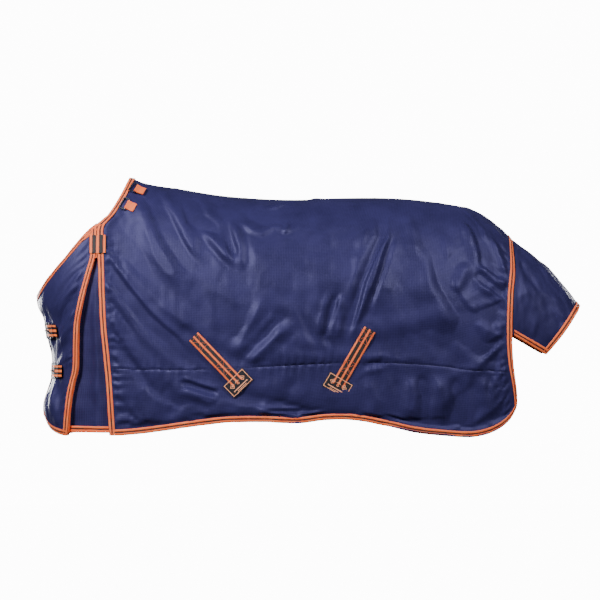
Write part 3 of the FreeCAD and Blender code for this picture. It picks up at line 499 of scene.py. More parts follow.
def ripstop_cloth(name, base, dark, light, roughness):
    """Coated ripstop polyester: a plain weave with a square of thicker threads, which give a fine
    grid, and a satin coating, which gives broad soft highlights and hides single threads."""
    material, tree = new_material(name)
    cloth = add_node(tree, "ShaderNodeUVMap", uv_map="cloth")
    bands = 0.314159 / (THREADS / 1000)
    lines = []
    for way in ("X", "Y"):
        wave = add_node(tree, "ShaderNodeTexWave", {
            "Vector": (cloth, "UV"), "Scale": bands, "Distortion": 0.0}, bands_direction=way)
        lines.append(add_node(tree, "ShaderNodeMath", {0: (wave, "Fac"), 1: 7.0}, operation="POWER"))
    grid = add_node(tree, "ShaderNodeMath", {0: (lines[0], 0), 1: (lines[1], 0)}, operation="MAXIMUM")
    mottle = add_node(tree, "ShaderNodeTexNoise", {
        "Vector": (cloth, "UV"), "Scale": 9.0, "Detail": 5.0, "Roughness": 0.6})
    crinkle = add_node(tree, "ShaderNodeTexNoise", {
        "Vector": (cloth, "UV"), "Scale": 55.0, "Detail": 4.0, "Roughness": 0.65, "Distortion": 0.6})
    tone = add_node(tree, "ShaderNodeValToRGB", {"Fac": (mottle, "Fac")})
    tone.color_ramp.elements[0].position = 0.3
    tone.color_ramp.elements[0].color = linear(dark)
    tone.color_ramp.elements[1].position = 0.7
    tone.color_ramp.elements[1].color = linear(base)
    fade = add_node(tree, "ShaderNodeMath", {0: (grid, 0), 1: 0.34}, operation="MULTIPLY")
    colour = add_node(tree, "ShaderNodeMix", {
        "Factor": (fade, 0), 6: (tone, "Color"), 7: linear(light)}, data_type="RGBA")
    rough = add_node(tree, "ShaderNodeMapRange", {
        "Value": (mottle, "Fac"), "From Min": 0.3, "From Max": 0.7,
        "To Min": roughness - 0.05, "To Max": roughness + 0.06})
    ridge = add_node(tree, "ShaderNodeBump", {
        "Height": (grid, 0), "Strength": 0.35, "Distance": 0.0005})
    # Wadding makes dents about 100 mm across, and the coating creases every 20 mm or so.
    rumple = add_node(tree, "ShaderNodeTexNoise", {
        "Vector": (cloth, "UV"), "Scale": 10.0, "Detail": 1.0, "Roughness": 0.4, "Distortion": 0.3})
    soft = add_node(tree, "ShaderNodeBump", {
        "Height": (rumple, "Fac"), "Strength": 0.5, "Distance": 0.012, "Normal": (ridge, "Normal")})
    relief = add_node(tree, "ShaderNodeBump", {
        "Height": (crinkle, "Fac"), "Strength": 0.25, "Distance": 0.0016, "Normal": (soft, "Normal")})
    shader = finish_surface(
        tree, Base_Color=(colour, 2), Roughness=(rough, "Result"), Normal=(relief, "Normal"),
        Sheen_Weight=0.05, Sheen_Roughness=0.4, IOR=1.45)
    shader.inputs["Sheen Tint"].default_value = linear("#8f97d8")
    shader.inputs["Specular Tint"].default_value = linear("#b5b3ee")
    return material


navy_ripstop = ripstop_cloth("navy_ripstop", "#28254f", "#1d1b3e", "#444173", 0.47)

seam_columns = np.linspace(-1, 1, 291)
skirt_columns = np.linspace(0, 1, 58)


def seam_v(x):
    return section_place(x, height(seam_line(x / BACK_LENGTH)))


back_panel = body_piece(
    "back_panel", np.linspace(0, 1, 281), lambda x: seam_columns * (seam_v(x) - 0.0003), 1)
back_panel.data.materials.append(navy_ripstop)
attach(back_panel, "rug_body")
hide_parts("outer_back_panel", "filling_back_left", "filling_back_right")
for side, sign in (("left", -1), ("right", 1)):
    skirt = body_piece(
        "skirt_" + side, np.linspace(0, 1, 281),
        lambda x: sign * (seam_v(x) + 0.0003 + (1 - seam_v(x) - 0.0003) * skirt_columns), sign)
    skirt.data.materials.append(navy_ripstop)
    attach(skirt, "rug_body")
    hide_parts("outer_skirt_" + side, "filling_skirt_" + side)


# ---------------------------------------------------------------- body lining
# Smooth woven nylon, sewn in behind the wadding so that the coat doesn't rub. It is a loose flat
# sheet, held only by the bindings, with faint pulls.
def lining_cloth(name, base, dark):
    """Nylon taffeta: a tight plain weave, darker and shinier than the outside, with faint pulls."""
    material, tree = new_material(name)
    cloth = add_node(tree, "ShaderNodeUVMap", uv_map="cloth")
    weave = add_node(tree, "ShaderNodeTexWave", {
        "Vector": (cloth, "UV"), "Scale": 0.314159 / 0.003, "Distortion": 0.5})
    pulls = add_node(tree, "ShaderNodeTexNoise", {
        "Vector": (cloth, "UV"), "Scale": 14.0, "Detail": 5.0, "Distortion": 0.8})
    tone = add_node(tree, "ShaderNodeMix", {
        "Factor": (pulls, "Fac"), 6: linear(dark), 7: linear(base)}, data_type="RGBA")
    fine = add_node(tree, "ShaderNodeBump", {
        "Height": (weave, "Fac"), "Strength": 0.2, "Distance": 0.0003})
    relief = add_node(tree, "ShaderNodeBump", {
        "Height": (pulls, "Fac"), "Strength": 0.5, "Distance": 0.004, "Normal": (fine, "Normal")})
    rough = add_node(tree, "ShaderNodeMapRange", {
        "Value": (pulls, "Fac"), "To Min": 0.32, "To Max": 0.5})
    finish_surface(tree, Base_Color=(tone, 2), Roughness=(rough, "Result"), Normal=(relief, "Normal"))
    return material


navy_taffeta = lining_cloth("navy_taffeta", "#2b3050", "#1b1f38")


def lining_piece(name, skin, us, vs, outward, back, wave):
    uu, vv = np.meshgrid(us, vs, indexing="ij")
    plain = skin(uu, vv)
    lengths = cloth_lengths(plain)
    soft = wave * unevenness(lengths[..., 0] * 1000, lengths[..., 1] * 1000, 90, 31)
    points = plain - normals(skin, uu, vv, np.full(uu.shape, outward)) * (back + np.abs(soft))[..., None]
    made = cloth_object(name, points, lengths, flip=outward > 0)
    made.data.materials.append(navy_taffeta)
    return made


body_lining = lining_piece(
    "body_lining", body_skin, np.linspace(0.002, 0.998, 121), np.linspace(-0.998, 0.998, 181),
    1.0, LAYERS - 0.2, 0.8)
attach(body_lining, "rug_body")
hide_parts("lining_body_left", "lining_body_right")


# ---------------------------------------------------------------- front panels
# One padded panel each side in front of the shoulder slit, of the same ripstop and wadding, lined.
# It is sewn to the body above the slit and wraps round the chest, where the two sides buckle.
SLIT_TOP = 0.290
CHEST_GAP = 3.0
panel_rear = line_through([
    (0.18, -0.0817), (0.24, -0.0817), (0.30, -0.0834), (0.38, -0.098), (0.475, -0.1145),
    (0.56, -0.126), (0.65, -0.129), (0.74, -0.131), (0.80, -0.141), (0.87, -0.149), (1.0, -0.158)])
chest_line = line_through([
    (0.18, -0.225), (0.35, -0.238), (0.46, -0.2415), (0.50, -0.238), (0.55, -0.223),
    (0.63, -0.212), (0.69, -0.2025), (0.77, -0.2025), (0.82, -0.212), (0.88, -0.224),
    (0.93, -0.222), (1.0, -0.208)])
neck_line = line_through([
    (0.17, -0.070), (0.184, -0.087), (0.23, -0.1185), (0.31, -0.163), (0.395, -0.2116),
    (0.46, -0.2415), (0.50, -0.262)])
panel_hem = line_through([
    (-0.2415, 0.90), (-0.222, 0.925), (-0.210, 0.960), (-0.197, 0.981), (-0.17, 0.997),
    (-0.14, 1.0), (-0.08, 1.0)])


def slit_x(share):
    return BACK_LENGTH * front_edge(np.maximum(share, SLIT_TOP))


def panel_point(s, z, sign):
    """Outside of a front panel at a height: s 0 at the slit, 1 at the front edge."""
    share = depth(z)
    back = slit_x(share)
    front = BACK_LENGTH * chest_line(share)
    start = np.arcsin((back - BACK_LENGTH * panel_rear(share)) / (back - front))
    end = math.pi / 2 - CHEST_GAP / (BARREL_HALF * width_line(0.0))
    turn = start + (end - start) * s
    y = sign * half_width(back, z) * np.cos(turn)
    return np.stack([back - (back - front) * np.sin(turn), y, z], -1)


rim_places = np.linspace(-0.02, 1.02, 261)
low = np.full(rim_places.shape, height(0.47))
high = np.full(rim_places.shape, height(0.16))
rising = panel_point(rim_places, high, 1)[..., 0] > BACK_LENGTH * neck_line(0.16)
for _ in range(40):
    middle = (low + high) / 2
    ahead = panel_point(rim_places, middle, 1)[..., 0] > BACK_LENGTH * neck_line(depth(middle))
    low, high = np.where(ahead == rising, low, middle), np.where(ahead == rising, middle, high)
neck_rims = (low + high) / 2
hem_rims = np.full(rim_places.shape, height(0.98))
for _ in range(14):
    hem_rims = height(panel_hem(panel_point(rim_places, hem_rims, 1)[..., 0] / BACK_LENGTH))


def panel_skin(sign):
    def skin(s, t):
        s, t = np.broadcast_arrays(np.asarray(s, float), np.asarray(t, float))
        neck = np.interp(s, rim_places, neck_rims)
        hem = np.interp(s, rim_places, hem_rims)
        return panel_point(s, neck + (hem - neck) * t, sign)
    return skin


# Folds as paths in shares of the panel, half width as a share, rise, and lean.
PANEL_FOLDS = [
    ([(0.05, 0.20), (0.22, 0.26), (0.45, 0.28)], 0.035, 5, 0.3),
    ([(0.03, 0.30), (0.20, 0.33), (0.42, 0.40)], 0.035, -5, 0.3),
    ([(0.04, 0.42), (0.22, 0.44), (0.40, 0.53)], 0.04, 5, 0),
    ([(0.62, 0.42), (0.72, 0.30), (0.78, 0.20)], 0.045, 5, 0.2),
    ([(0.48, 0.46), (0.60, 0.34), (0.66, 0.16)], 0.045, -4, 0.2),
    ([(0.10, 0.60), (0.35, 0.585), (0.60, 0.60)], 0.03, 4, 0),
    ([(0.08, 0.54), (0.30, 0.52), (0.55, 0.50)], 0.03, -4, 0.2),
    ([(0.20, 0.92), (0.38, 0.84), (0.62, 0.74)], 0.05, 6, 0.3),
    ([(0.12, 0.86), (0.34, 0.76), (0.52, 0.70)], 0.05, -5, 0.2),
    ([(0.55, 0.92), (0.70, 0.86), (0.80, 0.78)], 0.05, 5, 0),
]


def panel_relief(s, t, sign):
    rise = np.zeros(np.shape(s))
    for path, width, lift, lean in PANEL_FOLDS:
        points = np.array(path)
        nearest = np.full(np.shape(s), 9.0)
        place = np.zeros(np.shape(s))
        side = np.zeros(np.shape(s))
        for k, (a, b) in enumerate(zip(points, points[1:])):
            way = (b - a) / np.linalg.norm(b - a)
            q = np.clip((s - a[0]) * way[0] + (t - a[1]) * way[1], 0, np.linalg.norm(b - a))
            ds, dt = s - a[0] - q * way[0], t - a[1] - q * way[1]
            off = np.hypot(ds * 0.6, dt)
            closer = off < nearest
            nearest = np.where(closer, off, nearest)
            place = np.where(closer, (k + q / np.linalg.norm(b - a)) / (len(points) - 1), place)
            side = np.where(closer, np.sign(ds * way[1] - dt * way[0]), side)
        q = nearest / width * (1 + lean * side)
        fade = smooth(np.minimum(place, 1 - place) / 0.3 + 0.1)
        rise = rise + lift * fade * (np.exp(-q ** 1.7) - 0.33 * np.exp(-((q - 2.0) / 0.9) ** 2))
    rise = rise + 1.3 * unevenness(s * 320 + 900 * sign, t * 640, 90, 21)
    rise = rise + 0.6 * unevenness(s * 320, t * 640 + 900 * sign, 34, 22)
    waves = np.sin(2 * math.pi * t * 640 / 32 + 2.4 * unevenness(t * 640, s * 30, 60, 23))
    rise = rise + 2.6 * np.exp(-np.maximum(s * 320 - BINDING_WIDTH, 0) / 24) * waves
    seam = np.abs(t * 640 - 402 + 30 * s)
    waves = np.sin(2 * math.pi * s * 320 / 24 + 2.0 * unevenness(s * 320, t * 30, 60, 24))
    rise = (rise + 1.6 * np.exp(-seam / 22) * (1 - np.exp(-seam / 5)) * waves
            - 2.2 * np.exp(-(seam / 4.5) ** 2))
    edge = np.minimum(np.minimum(s, 1 - s) * 320, np.minimum(t, 1 - t) * 640)
    strap = np.maximum(np.exp(-((t - 0.30) / 0.07) ** 2), np.exp(-((t - 0.62) / 0.07) ** 2))
    held = smooth((edge - BINDING_WIDTH) / 18) * (1 - 0.92 * strap * smooth((s - 0.5) / 0.12))
    return np.clip(rise, -7.0, 10.0) * held


def stays_sewn(piece):
    """Bakes a front panel piece's place into its mesh. On the rug its top stays with the body and the
    rest swings out from the slit.
    """
    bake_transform(piece)


for side, sign in (("left", -1), ("right", 1)):
    skin = panel_skin(sign)
    ss, tt = np.meshgrid(np.linspace(0, 1, 91), np.linspace(0, 1, 151), indexing="ij")
    plain = skin(ss, tt)
    out = normals(skin, ss, tt, np.full(ss.shape, -sign))
    panel = cloth_object(
        "front_panel_cloth_" + side, plain + out * panel_relief(ss, tt, sign)[..., None],
        cloth_lengths(plain), flip=sign > 0)
    panel.data.materials.append(navy_ripstop)
    stays_sewn(panel)
    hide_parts("outer_front_" + side, "filling_front_" + side)
    lining = lining_piece(
        "front_lining_" + side, skin, np.linspace(0.004, 0.996, 41), np.linspace(0.003, 0.997, 71),
        -sign, LAYERS - 0.2, 0.6)
    stays_sewn(lining)
    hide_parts("lining_front_" + side)


# ---------------------------------------------------------------- gussets
# A pleated piece of the same ripstop behind each shoulder slit, which opens as the leg moves. Its
# hem is bound, and the pleat makes a deep shadow behind the front panel.
GUSSET_BACK = 13.5
GUSSET_LAP = 22.0


def gusset_skin(sign):
    def skin(s, t):
        s, t = np.broadcast_arrays(np.asarray(s, float), np.asarray(t, float))
        z = height(SLIT_TOP + 0.02 + (0.985 - SLIT_TOP - 0.02) * t)
        share = depth(z)
        front = BACK_LENGTH * panel_rear(share) - GUSSET_LAP
        rear = BACK_LENGTH * front_edge(share) + GUSSET_LAP
        x = front + (rear - front) * s
        fold = 12.0 * np.sin(math.pi * np.clip(s / 0.7, 0, 1)) ** 2 * t
        ease = 1.6 * (1 - smooth((s - 0.65) / 0.3))
        back = slit_x(share)
        wrapped = np.maximum((back - x) / (back - BACK_LENGTH * chest_line(share)), 0)
        half = half_width(np.maximum(x, back), z) * np.sqrt(1 - wrapped ** 2)
        return np.stack([x, sign * (half - fold - ease), z], -1)
    return skin


for side, sign in (("left", -1), ("right", 1)):
    skin = gusset_skin(sign)
    ss, tt = np.meshgrid(np.linspace(0, 1, 41), np.linspace(0, 1, 121), indexing="ij")
    plain = skin(ss, tt)
    out = normals(skin, ss, tt, np.full(ss.shape, sign))
    soft = 1.8 * unevenness(ss * 120, tt * 640 * 0.5, 34, 41) * smooth(np.minimum(ss, 1 - ss) * 6)
    pleat = -10.0 * smooth(np.minimum((ss - 0.03) / 0.16, (0.66 - ss) / 0.24)) * smooth(tt * 2.2)
    points = plain + out * (-GUSSET_BACK + np.clip(soft + pleat, -10.0, 2.0))[..., None]
    gusset = cloth_object("gusset_cloth_" + side, points, cloth_lengths(plain), flip=sign < 0)
    gusset.data.materials.append(navy_ripstop)
    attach(gusset, "rug_body")
    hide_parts("gusset_" + side)


# ---------------------------------------------------------------- tail flap
# A shaped flap of single ripstop with a nylon back, sewn along the rear edge and bound on its
# other sides. It stands off the tail, and the horse lifts it.
FLAP_OUT = 250.0


def flap_skin(u, v):
    u, v = np.broadcast_arrays(np.asarray(u, float), np.asarray(v, float))
    a = abs(v)
    root = body_skin(np.ones(a.shape), section_place(BACK_LENGTH, height(0.602)) * a)
    turn = a * math.pi / 2
    out_x = BACK_LENGTH + FLAP_OUT * (1 - 0.55 * a * a)
    out_z = height(0.498 + (0.686 - 0.498) * (1 - np.cos(turn)))
    x = root[..., 0] + 3.3 + (out_x - root[..., 0]) * u
    y = root[..., 1] + (150.0 * np.sin(turn) - root[..., 1]) * u
    z = root[..., 2] + (out_z - root[..., 2]) * u + 22.0 * np.sin(math.pi * u) * (1 - a * a)
    return np.stack([x, np.where(v < 0, -y, y), z], -1)


def lifts(piece):
    """Bakes a tail flap piece's place into its mesh. On the rug the flap's root stays sewn to the rug
    and the rest lifts.
    """
    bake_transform(piece)


def flap_relief(u, v):
    rise = 2.4 * unevenness(u * 300, v * 420, 85, 51) + 1.0 * unevenness(u * 300, v * 420, 30, 52)
    for a, b, lift in ((-0.75, -0.35, 5), (-0.45, -0.70, -5), (-0.15, -0.30, 4), (0.35, 0.62, 5),
                       (0.6, 0.25, -4)):
        off = np.abs(v - a - (b - a) * u) / 0.07
        rise = rise + lift * np.exp(-off ** 1.7) * smooth(u * 4)
    edge = np.minimum(np.minimum(u, 1 - u) * 300, (1 - abs(v)) * 420)
    return np.clip(rise, -5.0, 8.0) * smooth((edge - 16) / 24)


uu, vv = np.meshgrid(np.linspace(0, 1, 61), np.linspace(-1, 1, 161), indexing="ij")
plain = flap_skin(uu, vv)
points = plain + normals(flap_skin, uu, vv) * flap_relief(uu, vv)[..., None]
flap = cloth_object("tail_flap_cloth", points, cloth_lengths(plain))
flap.data.materials.append(navy_ripstop)
lifts(flap)
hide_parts("tail_flap_shell")
points = plain - normals(flap_skin, uu, vv) * (2.2 - np.minimum(flap_relief(uu, vv), 0))[..., None]
flap_lining = cloth_object("tail_flap_back", points, cloth_lengths(plain), flip=True)
flap_lining.data.materials.append(navy_taffeta)
lifts(flap_lining)
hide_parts("tail_flap_lining")


# ---------------------------------------------------------------- edge binding
# Ribbed polyester tape folded over every cut edge and sewn with two rows: two orange bands with
# a dark line between them, and dark selvedges.
def striped_tape(name, orange, pale, dark, stripes, width, ribs):
    """Woven polyester tape: soft matt yarn with cross ribs, in lengthwise stripes, given as
    (start, end) shares of its width that are dark. The pale colour on the rib crests is a painted
    highlight, patchy at random."""
    material, tree = new_material(name)
    cloth = add_node(tree, "ShaderNodeUVMap", uv_map="cloth")
    parts = add_node(tree, "ShaderNodeSeparateXYZ", {"Vector": (cloth, "UV")})
    share = add_node(tree, "ShaderNodeMath", {0: (parts, "Y"), 1: 1 / width}, operation="MULTIPLY")
    stripe = add_node(tree, "ShaderNodeValToRGB", {"Fac": (share, 0)})
    ramp = stripe.color_ramp
    ramp.interpolation = "LINEAR"
    stops = [(0.0, 0.0)]
    for start, end in stripes:
        stops += [(start - 0.012, 0.0), (start + 0.012, 1.0), (end - 0.012, 1.0), (end + 0.012, 0.0)]
    stops = [(min(max(p, 0.0), 1.0), c) for p, c in stops]
    while len(ramp.elements) > 1:
        ramp.elements.remove(ramp.elements[-1])
    ramp.elements[0].position = 0.0
    first = 1.0 if stripes[0][0] <= 0 else 0.0
    ramp.elements[0].color = (first, first, first, 1)
    for place, value in stops[1:]:
        if place > 0.0:
            mark = ramp.elements.new(place)
            mark.color = (value, value, value, 1)
    rib = add_node(tree, "ShaderNodeTexWave", {
        "Vector": (cloth, "UV"), "Scale": 0.314159 / ribs, "Distortion": 0.4, "Detail": 1.0})
    wear_and_highlight = add_node(tree, "ShaderNodeTexNoise", {"Vector": (cloth, "UV"), "Scale": 30.0, "Detail": 4.0})
    tint = add_node(tree, "ShaderNodeMapRange", {
        "Value": (wear_and_highlight, "Fac"), "From Min": 0.3, "From Max": 0.7})
    # Painted highlight: the pale colour is mixed in on the rib crests, in random patches.
    painted_highlight = add_node(tree, "ShaderNodeMath", {0: (tint, 0), 1: (rib, "Fac")}, operation="MULTIPLY")
    warm = add_node(tree, "ShaderNodeMix", {
        "Factor": (painted_highlight, 0), 6: linear(orange), 7: linear(pale)}, data_type="RGBA")
    colour = add_node(tree, "ShaderNodeMix", {
        "Factor": (stripe, "Color"), 6: (warm, 2), 7: linear(dark)}, data_type="RGBA")
    sunk = add_node(tree, "ShaderNodeMath", {
        0: (stripe, "Color"), 1: -0.6, 2: (rib, "Fac")}, operation="MULTIPLY_ADD")
    relief = add_node(tree, "ShaderNodeBump", {
        "Height": (sunk, 0), "Strength": 0.45, "Distance": 0.0006})
    rough = add_node(tree, "ShaderNodeMapRange", {
        "Value": (wear_and_highlight, "Fac"), "To Min": 0.5, "To Max": 0.72})
    finish_surface(tree, Base_Color=(colour, 2), Roughness=(rough, "Result"), Normal=(relief, "Normal"),
                   Sheen_Weight=0.12)
    return material


TAPE_OVER = 1.9          # how far the fold of the binding stands past the edge
binding_tape = striped_tape(
    "orange_binding_tape", "#ff6222", "#ff9453", "#38100e",
    [(-0.1, 0.07), (0.39, 0.62), (0.93, 1.1)], BINDING_WIDTH / 1000, 0.0022)


def binding(name, skin, edge, inward, thick, outward=1, base=0.0, step=7.0, seed=61):
    """A tape folded over an edge: edge(k) gives u and v for k from 0 to 1."""
    k = np.linspace(0, 1, 400)
    u, v = edge(k)
    line = skin(u, v)
    length = np.linalg.norm(np.diff(line, axis=0), axis=1).sum()
    k = np.linspace(0, 1, max(int(length / step), 8))
    u, v = edge(k)
    u, v = np.broadcast_arrays(np.asarray(u, float), np.asarray(v, float))
    h = 1e-3
    rim = skin(u, v)
    speed = np.linalg.norm(skin(u + inward[0] * h, v + inward[1] * h) - rim, axis=-1) / h
    far_u = u + inward[0] * BINDING_WIDTH / speed
    far_v = v + inward[1] * BINDING_WIDTH / speed
    far = skin(far_u, far_v)
    sign = np.full(u.shape, float(outward))
    up, far_up = normals(skin, u, v, sign), normals(skin, far_u, far_v, sign)
    past = (rim - far) / np.linalg.norm(rim - far, axis=-1, keepdims=True)
    run = np.concatenate([[0], np.cumsum(np.linalg.norm(np.diff(rim, axis=0), axis=1))])
    wave = unevenness(run, run * 0.2, 38, seed)[:, None]
    deep = thick - base
    profile = [
        (1.0, base - 0.2), (0.985, base + 1.5), (0.78, base + 2.1), (0.56, base + 1.9),
        (0.50, base + 1.5), (0.44, base + 1.9), (0.22, base + 2.2), (0.03, base + 1.9),
        (-0.06, base + 0.9), (-0.085, -1.5), (-0.085, -deep + 1.0), (-0.06, -deep - 0.9),
        (0.03, -deep - 1.7), (0.45, -deep - 1.8), (0.96, -deep - 1.7), (1.0, -deep - 0.6)]
    rows = []
    across = [0.0]
    for i, (share, rise) in enumerate(profile):
        out = up * (1 - max(share, 0)) + far_up * max(share, 0)
        at = rim + (far - rim) * max(share, 0) + past * max(-share, 0) * BINDING_WIDTH
        shift = 0.35 * wave if 0 < i < 9 else 0.0
        rows.append(at + out * (rise + shift) + past * 0.4 * wave * (share < 0.5))
        if i:
            step_x = (profile[i][0] - profile[i - 1][0]) * BINDING_WIDTH
            across.append(across[-1] + math.hypot(step_x, profile[i][1] - profile[i - 1][1]))
    points = np.stack(rows, 1)
    across = np.array(across)
    across = np.where(across > across[8], across[-1] - across, across)
    lengths = np.stack(np.broadcast_arrays(run[:, None], across[None, :] * 22.0 / across[8]), -1) / 1000
    middle = points[len(points) // 2, 3] - points[len(points) // 2, 12]
    facing = np.cross(points[len(points) // 2 + 1, 3] - points[len(points) // 2, 3],
                      points[len(points) // 2, 5] - points[len(points) // 2, 3])
    made = cloth_object(name, points, lengths, flip=float(np.dot(middle, facing)) < 0)
    made.data.materials.append(binding_tape)
    return made


mouth = float(section_place(BACK_LENGTH * front_edge(0.19), height(0.184)))
neck_tape = binding(
    "neck_tape", body_skin, lambda k: (0 * k, mouth * 0.97 * (2 * k - 1)), (1, 0), LAYERS)
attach(neck_tape, "rug_body")
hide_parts("neck_binding_back")
rear_tape = binding("rear_tape", body_skin, lambda k: (0 * k + 1, 0.985 * (2 * k - 1)), (-1, 0), LAYERS)
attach(rear_tape, "rug_body")
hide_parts("rear_binding")
margin = 4.0 / BACK_LENGTH
for side, sign in (("left", -1), ("right", 1)):
    hem = binding("hem_tape_" + side, body_skin, lambda k: (margin + (1 - 2 * margin) * k, 0 * k + sign),
                  (0, -sign), LAYERS, seed=62)
    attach(hem, "rug_body")
    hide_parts("hem_binding_" + side)
    slit = binding("slit_tape_rear_" + side, body_skin,
                   lambda k: (0 * k, sign * (mouth + (1.0 - mouth) * k)), (1, 0), LAYERS + 0.6, seed=63)
    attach(slit, "rug_body")
    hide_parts("slit_binding_rear_" + side)
    skin = panel_skin(sign)
    edges = {
        "neckline": (lambda k: (0.06 + 0.94 * k, 0 * k), (0, 1)),
        "front": (lambda k: (0 * k + 1, 0.02 + 0.97 * k), (-1, 0)),
        "hem": (lambda k: (0.04 + 0.96 * k, 0 * k + 1), (0, -1)),
    }
    for edge_name, (edge, inward) in edges.items():
        tape = binding(edge_name + "_tape_" + side, skin, edge, inward, LAYERS, -sign, seed=64)
        stays_sewn(tape)
    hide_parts("front_bindings_" + side)
    # A short tape bridges the notch where the neck binding meets the front panel's.
    corners = np.stack([body_skin(0.0, sign * mouth * 0.90), body_skin(0.02, sign * mouth * 0.90),
                        skin(0.16, 0.0), skin(0.16, 0.05)])

    def across_slit(u, v):
        u, v = np.broadcast_arrays(np.asarray(u, float)[..., None], np.asarray(v, float)[..., None])
        upper = corners[0] + (corners[1] - corners[0]) * v
        lower = corners[2] + (corners[3] - corners[2]) * v
        return upper + (lower - upper) * u

    bridge = binding("slit_top_tape_" + side, across_slit, lambda k: (k, 0 * k), (0, 1), LAYERS + 3.0,
                     -sign, 2.2, seed=68)
    stays_sewn(bridge)
    tape = binding("slit_tape_front_" + side, skin, lambda k: (0 * k, k), (1, 0), LAYERS + 0.6, -sign,
                   seed=65)
    stays_sewn(tape)
    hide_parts("slit_binding_front_" + side)
    skin = gusset_skin(sign)
    tape = binding("gusset_tape_" + side, skin, lambda k: (0.08 + 0.84 * k, 0 * k + 1), (0, -1), 1.2,
                   sign, -GUSSET_BACK, seed=66)
    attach(tape, "rug_body")
    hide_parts("gusset_hem_bindings")
edges = {
    "outer": (lambda k: (0 * k + 1, 2 * k - 1), (-1, 0)),
    "left": (lambda k: (0.03 + 0.95 * k, 0 * k - 1), (0, 1)),
    "right": (lambda k: (0.03 + 0.95 * k, 0 * k + 1), (0, -1)),
}
for edge_name, (edge, inward) in edges.items():
    tape = binding("flap_tape_" + edge_name, flap_skin, edge, inward, 2.4, seed=67)
    lifts(tape)
    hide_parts("tail_flap_bindings")


# ---------------------------------------------------------------- surcingle webbing and patches
# 50 mm polyester webbing sewn to each flank at the top and box-stitched, loose below, with a
# woven patch over its lower end. The patch carries a plain diamond pattern.
WEBBING_WIDTH = 50.0
PATCH_RISE = 4.2         # how far a patch lies over the outer cloth, on top of the webbing
webbing = striped_tape(
    "striped_surcingle_webbing", "#ff6222", "#ff9453", "#1a1116",
    [(-0.1, 0.035), (0.165, 0.43), (0.57, 0.835), (0.965, 1.1)], WEBBING_WIDTH / 1000, 0.0028)


def flat_strap(name, centre, wide, out, width, thick, material):
    """A strap through centre points, with rounded selvedges; wide and out are unit directions."""
    profile = [(-0.47, -0.5), (-0.5, 0.0), (-0.47, 0.5), (-0.25, 0.58), (0.0, 0.6), (0.25, 0.58),
               (0.47, 0.5), (0.5, 0.0), (0.47, -0.5), (0.0, -0.55)]
    rows = [centre + wide * (a * width) + out * (b * thick) for a, b in profile + profile[:1]]
    points = np.stack(rows, 1)
    run = np.concatenate([[0], np.cumsum(np.linalg.norm(np.diff(centre, axis=0), axis=1))])
    across = np.array([(a + 0.5) * width for a, b in profile + profile[:1]])
    lengths = np.stack(np.broadcast_arrays(run[:, None], across[None, :]), -1) / 1000
    facing = np.cross(points[1, 4] - points[0, 4], points[0, 5] - points[0, 4])
    made = cloth_object(name, points, lengths, flip=float(np.dot(facing, out[0])) < 0)
    made.data.materials.append(material)
    return made


def on_flank(x, z, sign):
    """A point on the body's outside and its outward normal."""
    at = np.stack([x, sign * half_width(x, z), z], -1)
    along = np.stack([x + 2, sign * half_width(x + 2, z), z], -1) - at
    down = np.stack([x, sign * half_width(x, z - 2), z - 2], -1) - at
    out = np.cross(along, down)
    out = out / np.linalg.norm(out, axis=-1, keepdims=True)
    return at, out * np.sign(out[..., 1:2] * sign)


def sewing(points, out, along):
    """A row of thread stitches along a line of points: short rounded bars, sunk at their ends."""
    stitch, pitch, thread = 3.4, 5.0, 0.7
    run = np.concatenate([[0], np.cumsum(np.linalg.norm(np.diff(points, axis=0), axis=1))])
    verts, quads = [], []
    for start in np.arange(pitch / 2, run[-1] - stitch, pitch):
        first = len(verts)
        for k in range(4):
            q = start + stitch * k / 3
            at = np.array([np.interp(q, run, points[:, i]) for i in range(3)])
            up = np.array([np.interp(q, run, out[:, i]) for i in range(3)])
            way = np.array([np.interp(q, run, along[:, i]) for i in range(3)])
            side = np.cross(up, way)
            rise = (-0.2, 0.75, 0.75, -0.2)[k]
            for a, b in ((-1, 0), (-0.6, 0.8), (0.6, 0.8), (1, 0)):
                verts.append(at + side * (a * thread) + up * (rise + b * thread * 0.7))
        for k in range(3):
            for m in range(3):
                a = first + k * 4 + m
                quads.append((a, a + 1, a + 5, a + 4))
    return verts, quads


patch_black = bpy.data.materials.new("woven_patch_black")
patch_thread = bpy.data.materials.new("pale_orange_embroidery")
for material, dark, light, ribs in ((patch_black, "#0d0d12", "#1d1b24", 0.0016),
                                    (patch_thread, "#e58a62", "#ffb992", 0.0020)):
    # Damask woven label: fine dull yarn in close rows, with embroidery thread of rayon, which shines.
    material.use_nodes = True
    tree = material.node_tree
    tree.nodes.clear()
    place = add_node(tree, "ShaderNodeTexCoord")
    rows = add_node(tree, "ShaderNodeTexWave", {
        "Vector": (place, "Object"), "Scale": 0.314159 / ribs, "Distortion": 0.6},
        bands_direction="DIAGONAL")
    tone = add_node(tree, "ShaderNodeMix", {
        "Factor": (rows, "Fac"), 6: linear(dark), 7: linear(light)}, data_type="RGBA")
    relief = add_node(tree, "ShaderNodeBump", {
        "Height": (rows, "Fac"), "Strength": 0.5, "Distance": 0.0004})
    finish_surface(tree, Base_Color=(tone, 2), Roughness=0.62, Normal=(relief, "Normal"))


def raised_shape(corners, low, high):
    """A flat shape from corners in patch millimetres, with sides down to the patch."""
    top = [(a, b, high) for a, b in corners]
    foot = [(a, b, low) for a, b in corners]
    count = len(corners)
    faces = [tuple(range(count))]
    faces += [(i, i + count, (i + 1) % count + count, (i + 1) % count) for i in range(count)]
    return top + foot, faces


